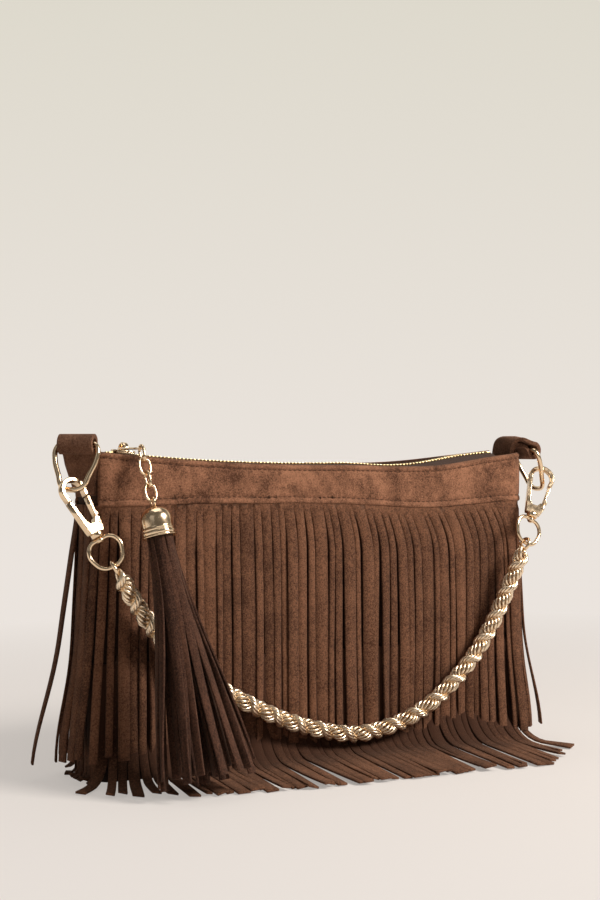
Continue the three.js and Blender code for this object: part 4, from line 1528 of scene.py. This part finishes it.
crown = (0, HOOK_TOP_MIDDLE)
hook_outline = [(leg_out(HOOK_END), HOOK_END)] + arc_points(crown, HOOK_OUT, 0, 180, 28)
hook_outline += [(-leg_out(LEG_JOIN), LEG_JOIN), (-leg_in(LEG_JOIN), LEG_JOIN)]
hook_outline += arc_points(crown, HOOK_IN, 180, 0, 24) + [(leg_in(HOOK_END), HOOK_END)]
base_outline_points = [
    (-leg_out(BASE_TOP), BASE_TOP),
    (-5.5, HOLE_FOOT),
    (-4.7, CLIP_FOOT + 1.6),
    (-4.2, CLIP_FOOT),
    (4.2, CLIP_FOOT),
    (5.0, CLIP_FOOT + 1.6),
    (5.9, HOLE_FOOT - 0.2),
    (5.5, HOLE_FOOT + 0.2),
    (2.9, HOLE_FOOT),
    (1.5, HOLE_FOOT - 2.0),
    (-1.5, HOLE_FOOT - 2.0),
    (-2.9, HOLE_FOOT),
    (-leg_in(BASE_TOP) - 0.3, BASE_TOP),
]
gate_leg = [
    (leg_out(GATE_TOP), GATE_TOP),
    (leg_in(GATE_TOP) + 0.5, GATE_TOP),
    (leg_in(HOLE_FOOT) + 1.3, GATE_FOOT),
    (leg_out(GATE_FOOT), GATE_FOOT),
    (leg_out(-16.6) + 1.2, -16.6),
    (leg_out(-15.4), -14.2),
]
gate_tail = [(leg_in(HOLE_FOOT) + 1.3, TAIL_TOP)]
gate_tail += arc_points(GATE_PIN, TAIL_RADIUS, 180, 360, 10) + [(6.0, TAIL_TOP)]
ring_side = [(6.5, 0), (9.0, 0), (11.1, -2.46), (11.1, -8.1), (8.1, -17.0), (5.55, -22.9)]
ring_line = [(0, 0)] + ring_side + [(0, -24.6)] + [(-a, b) for a, b in reversed(ring_side)]
eye_half = [(5.15, -0.3), (8.3, -4.1), (7.97, -9.1), (4.8, -14.0)]
eye_line = [(0, 0)] + eye_half + [(0, -15.1)] + [(-a, b) for a, b in reversed(eye_half)]
collar = [(0, -24.8), (3.0, -24.8), (3.2, -25.4), (3.2, -27.1), (2.8, -27.7), (1.3, -27.8)]
eye_bead = [(0, -27.9), (1.1, -27.9), (1.9, -28.4), (2.1, -29.2), (1.9, -30.1), (1.2, -30.7), (0, -30.8)]
pin_half = [(0, 2.42), (0.6, 2.38), (1.05, 2.2), (1.2, 1.95)]
pin_head = pin_half + [(a, -b) for a, b in reversed(pin_half)]
RING_WIRE_RADIUS = 1.4
EYE_WIRE_RADIUS = 1.1
END_RADIUS = 3.6
END_WIRE_RADIUS = 1.0


def clip_set(side):
    """Ring, clip, gate and swivel eye on one side."""
    hanger = HANGERS[side]
    frame_here = hanger["clip_frame"]
    body = side + "_hanger"

    ring = bmesh.new()
    ring_points = [(a, b, 0) for a, b in ring_line]
    add_wire(ring, ring_points, RING_WIRE_RADIUS, hanger["ring_frame"], around=5, steps=6)
    piece = finish_piece(side + "_ring_wire", ring, pale_gold, body)
    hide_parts(side + "_ring")

    clip = bmesh.new()
    add_plate(clip, [hook_outline], thick=3.6, edge=0.5, place=frame_here)
    add_plate(clip, [base_outline_points], thick=4.0, edge=0.4, place=frame_here)
    add_turned(clip, collar, steps=32, place=frame_here)
    piece = finish_piece(side + "_clip", clip, pale_gold, body)
    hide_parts(side + "_clip_body")

    gate = bmesh.new()
    add_plate(gate, [gate_leg], thick=3.5, edge=0.4, place=frame_here)
    add_plate(gate, [gate_tail], thick=1.7, edge=0.2, place=frame_here)
    piece = finish_piece(side + "_gate_lever", gate, pale_gold, side + "_gate")
    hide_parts(side + "_clip_gate")

    along_pin = frame_here @ Matrix.Translation((*GATE_PIN, 0)) @ Matrix.Rotation(math.pi / 2, 4, "X")
    pin = bmesh.new()
    add_turned(pin, pin_head, steps=20, place=along_pin)
    piece = finish_piece(side + "_gate_rivet", pin, pale_gold, body)
    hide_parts(side + "_gate_pin")

    spring = bmesh.new()
    add_block(spring, (2.8, -23.0, -0.85), (3.1, -19.9, 0.85), edge=0.08, place=frame_here)
    piece = finish_piece(side + "_gate_leaf", spring, zip_brass, body)
    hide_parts(side + "_gate_spring")

    turned_eye = frame_here @ Matrix.Rotation(hanger["eye_turn"], 4, "Y")
    eye = bmesh.new()
    eye_points = [(a, b + EYE_TOP, 0) for a, b in eye_line]
    add_wire(eye, eye_points, EYE_WIRE_RADIUS, turned_eye, around=5, steps=6)
    add_turned(eye, eye_bead, steps=24, place=frame_here)
    piece = finish_piece(side + "_eye_wire", eye, pale_gold, side + "_swivel")
    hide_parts(side + "_swivel_eye")

    link = bmesh.new()
    circle = [(0, END_LINK + b, a) for a, b in arc_points((0, 0), END_RADIUS, 0, 330, 11)]
    add_wire(link, circle, END_WIRE_RADIUS, turned_eye, around=4)
    piece = finish_piece(side + "_end_ring", link, pale_gold, side + "_swivel")
    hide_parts(side + "_end_link")
    print(side, "ring, clip, gate and eye")


clip_set("left")
clip_set("right")

# %% [markdown]
# ## Floor, backdrop and light
# The bag stands on pale paper that sweeps up behind it, under one soft lamp from the upper right, a faint
# fill from the left and a little light from above. Near the bag most of the paper's look is plain and
# takes the shadow. Further off it fades into an even glow that only the camera, reflections and glass
# see, so that the background keeps its own pale tone and that glow adds no light to the bag. The rest of
# the room is dim, which gives the metal something dark to reflect.

# %% Floor and backdrop
SWEEP_BACK = 1.5
SWEEP_BEND = 0.9
SWEEP_LENGTH = 7.0
SWEEP_FRONT = 2.5
SWEEP_WIDTH = 8
SWEEP_ROWS = 60
sweep = bmesh.new()
bmesh.ops.create_grid(sweep, x_segments=2, y_segments=SWEEP_ROWS, size=0.5)
for vert in sweep.verts:
    run = (vert.co.y + 0.5) * SWEEP_LENGTH - SWEEP_FRONT
    angle = min(max(run - SWEEP_BACK, 0) / SWEEP_BEND, math.pi / 2)
    climb = max(0, run - SWEEP_BACK - SWEEP_BEND * math.pi / 2)
    back = min(run, SWEEP_BACK) + SWEEP_BEND * math.sin(angle)
    vert.co = (SWEEP_WIDTH * vert.co.x, back, SWEEP_BEND * (1 - math.cos(angle)) + climb)
bmesh.ops.rotate(sweep, matrix=Matrix.Rotation(CAMERA_TURN, 3, "Z"), verts=sweep.verts)
sweep_mesh = mesh_of_shape("paper_sweep", sweep)
for face in sweep_mesh.polygons:
    face.use_smooth = True
paper_sweep = bpy.data.objects.new("paper_sweep", sweep_mesh)
scene.collection.objects.link(paper_sweep)

paper, tree, shader = new_material("pale paper")
shader.inputs["Base Color"].default_value = (0.76, 0.705, 0.665, 1)
shader.inputs["Roughness"].default_value = 0.9
shader.inputs["Specular IOR Level"].default_value = 0.1
spots = tree.nodes.new("ShaderNodeTexCoord")
axes = tree.nodes.new("ShaderNodeSeparateXYZ")
tree.links.new(spots.outputs["Object"], axes.inputs["Vector"])
far = tree.nodes.new("ShaderNodeVectorMath")
far.operation = "DISTANCE"
far.inputs[1].default_value = (0.13, 0, 0)
tree.links.new(spots.outputs["Object"], far.inputs[0])
rise = spread(tree, axes.outputs["Z"], low=0.0, high=1.1)
tint = mixed(tree, rise, (0.83, 0.775, 0.727, 1), (0.73, 0.695, 0.61, 1))
glow = tree.nodes.new("ShaderNodeEmission")
tree.links.new(tint, glow.inputs["Color"])
rays = tree.nodes.new("ShaderNodeLightPath")
seen = sums(tree, "MAXIMUM", rays.outputs["Is Camera Ray"], rays.outputs["Is Glossy Ray"])
seen = sums(tree, "MAXIMUM", seen, rays.outputs["Is Transmission Ray"])
glowing = spread(tree, far.outputs["Value"], low=0.15, high=0.75, to_low=0.4, to_high=1.0)
share = sums(tree, "MULTIPLY", seen, glowing)
mix = tree.nodes.new("ShaderNodeMixShader")
tree.links.new(share, mix.inputs["Fac"])
tree.links.new(shader.outputs["BSDF"], mix.inputs[1])
tree.links.new(glow.outputs["Emission"], mix.inputs[2])
tree.links.new(mix.outputs["Shader"], tree.nodes["Material Output"].inputs["Surface"])
sweep_mesh.materials.append(paper)
print("paper sweep made")


# %% Light
def soft_lamp(name, place, target, size, power, colour):
    """A square lamp that faces a target."""
    data = bpy.data.lights.new(name, "AREA")
    data.size = size
    data.energy = power
    data.color = colour
    lamp = bpy.data.objects.new(name, data)
    lamp.location = place
    lamp.rotation_euler = (Vector(target) - Vector(place)).to_track_quat("-Z", "Y").to_euler()
    scene.collection.objects.link(lamp)


soft_lamp("key", (0.9, -1.1, 1.15), (0.03, 0, 0.08), size=0.55, power=38, colour=(1.0, 0.965, 0.92))
soft_lamp("fill", (-1.5, -0.9, 0.9), (0, 0, 0.1), size=1.0, power=1.0, colour=(0.95, 0.97, 1.0))
soft_lamp("top", (0.0, 0.25, 1.6), (0, 0, 0), size=1.0, power=5, colour=(1.0, 0.98, 0.95))
world = bpy.data.worlds.new("room")
world.use_nodes = True
room = world.node_tree.nodes["Background"]
room.inputs["Color"].default_value = (1.0, 0.95, 0.88, 1)
room.inputs["Strength"].default_value = 0.125
scene.world = world
print("lamps and room light")
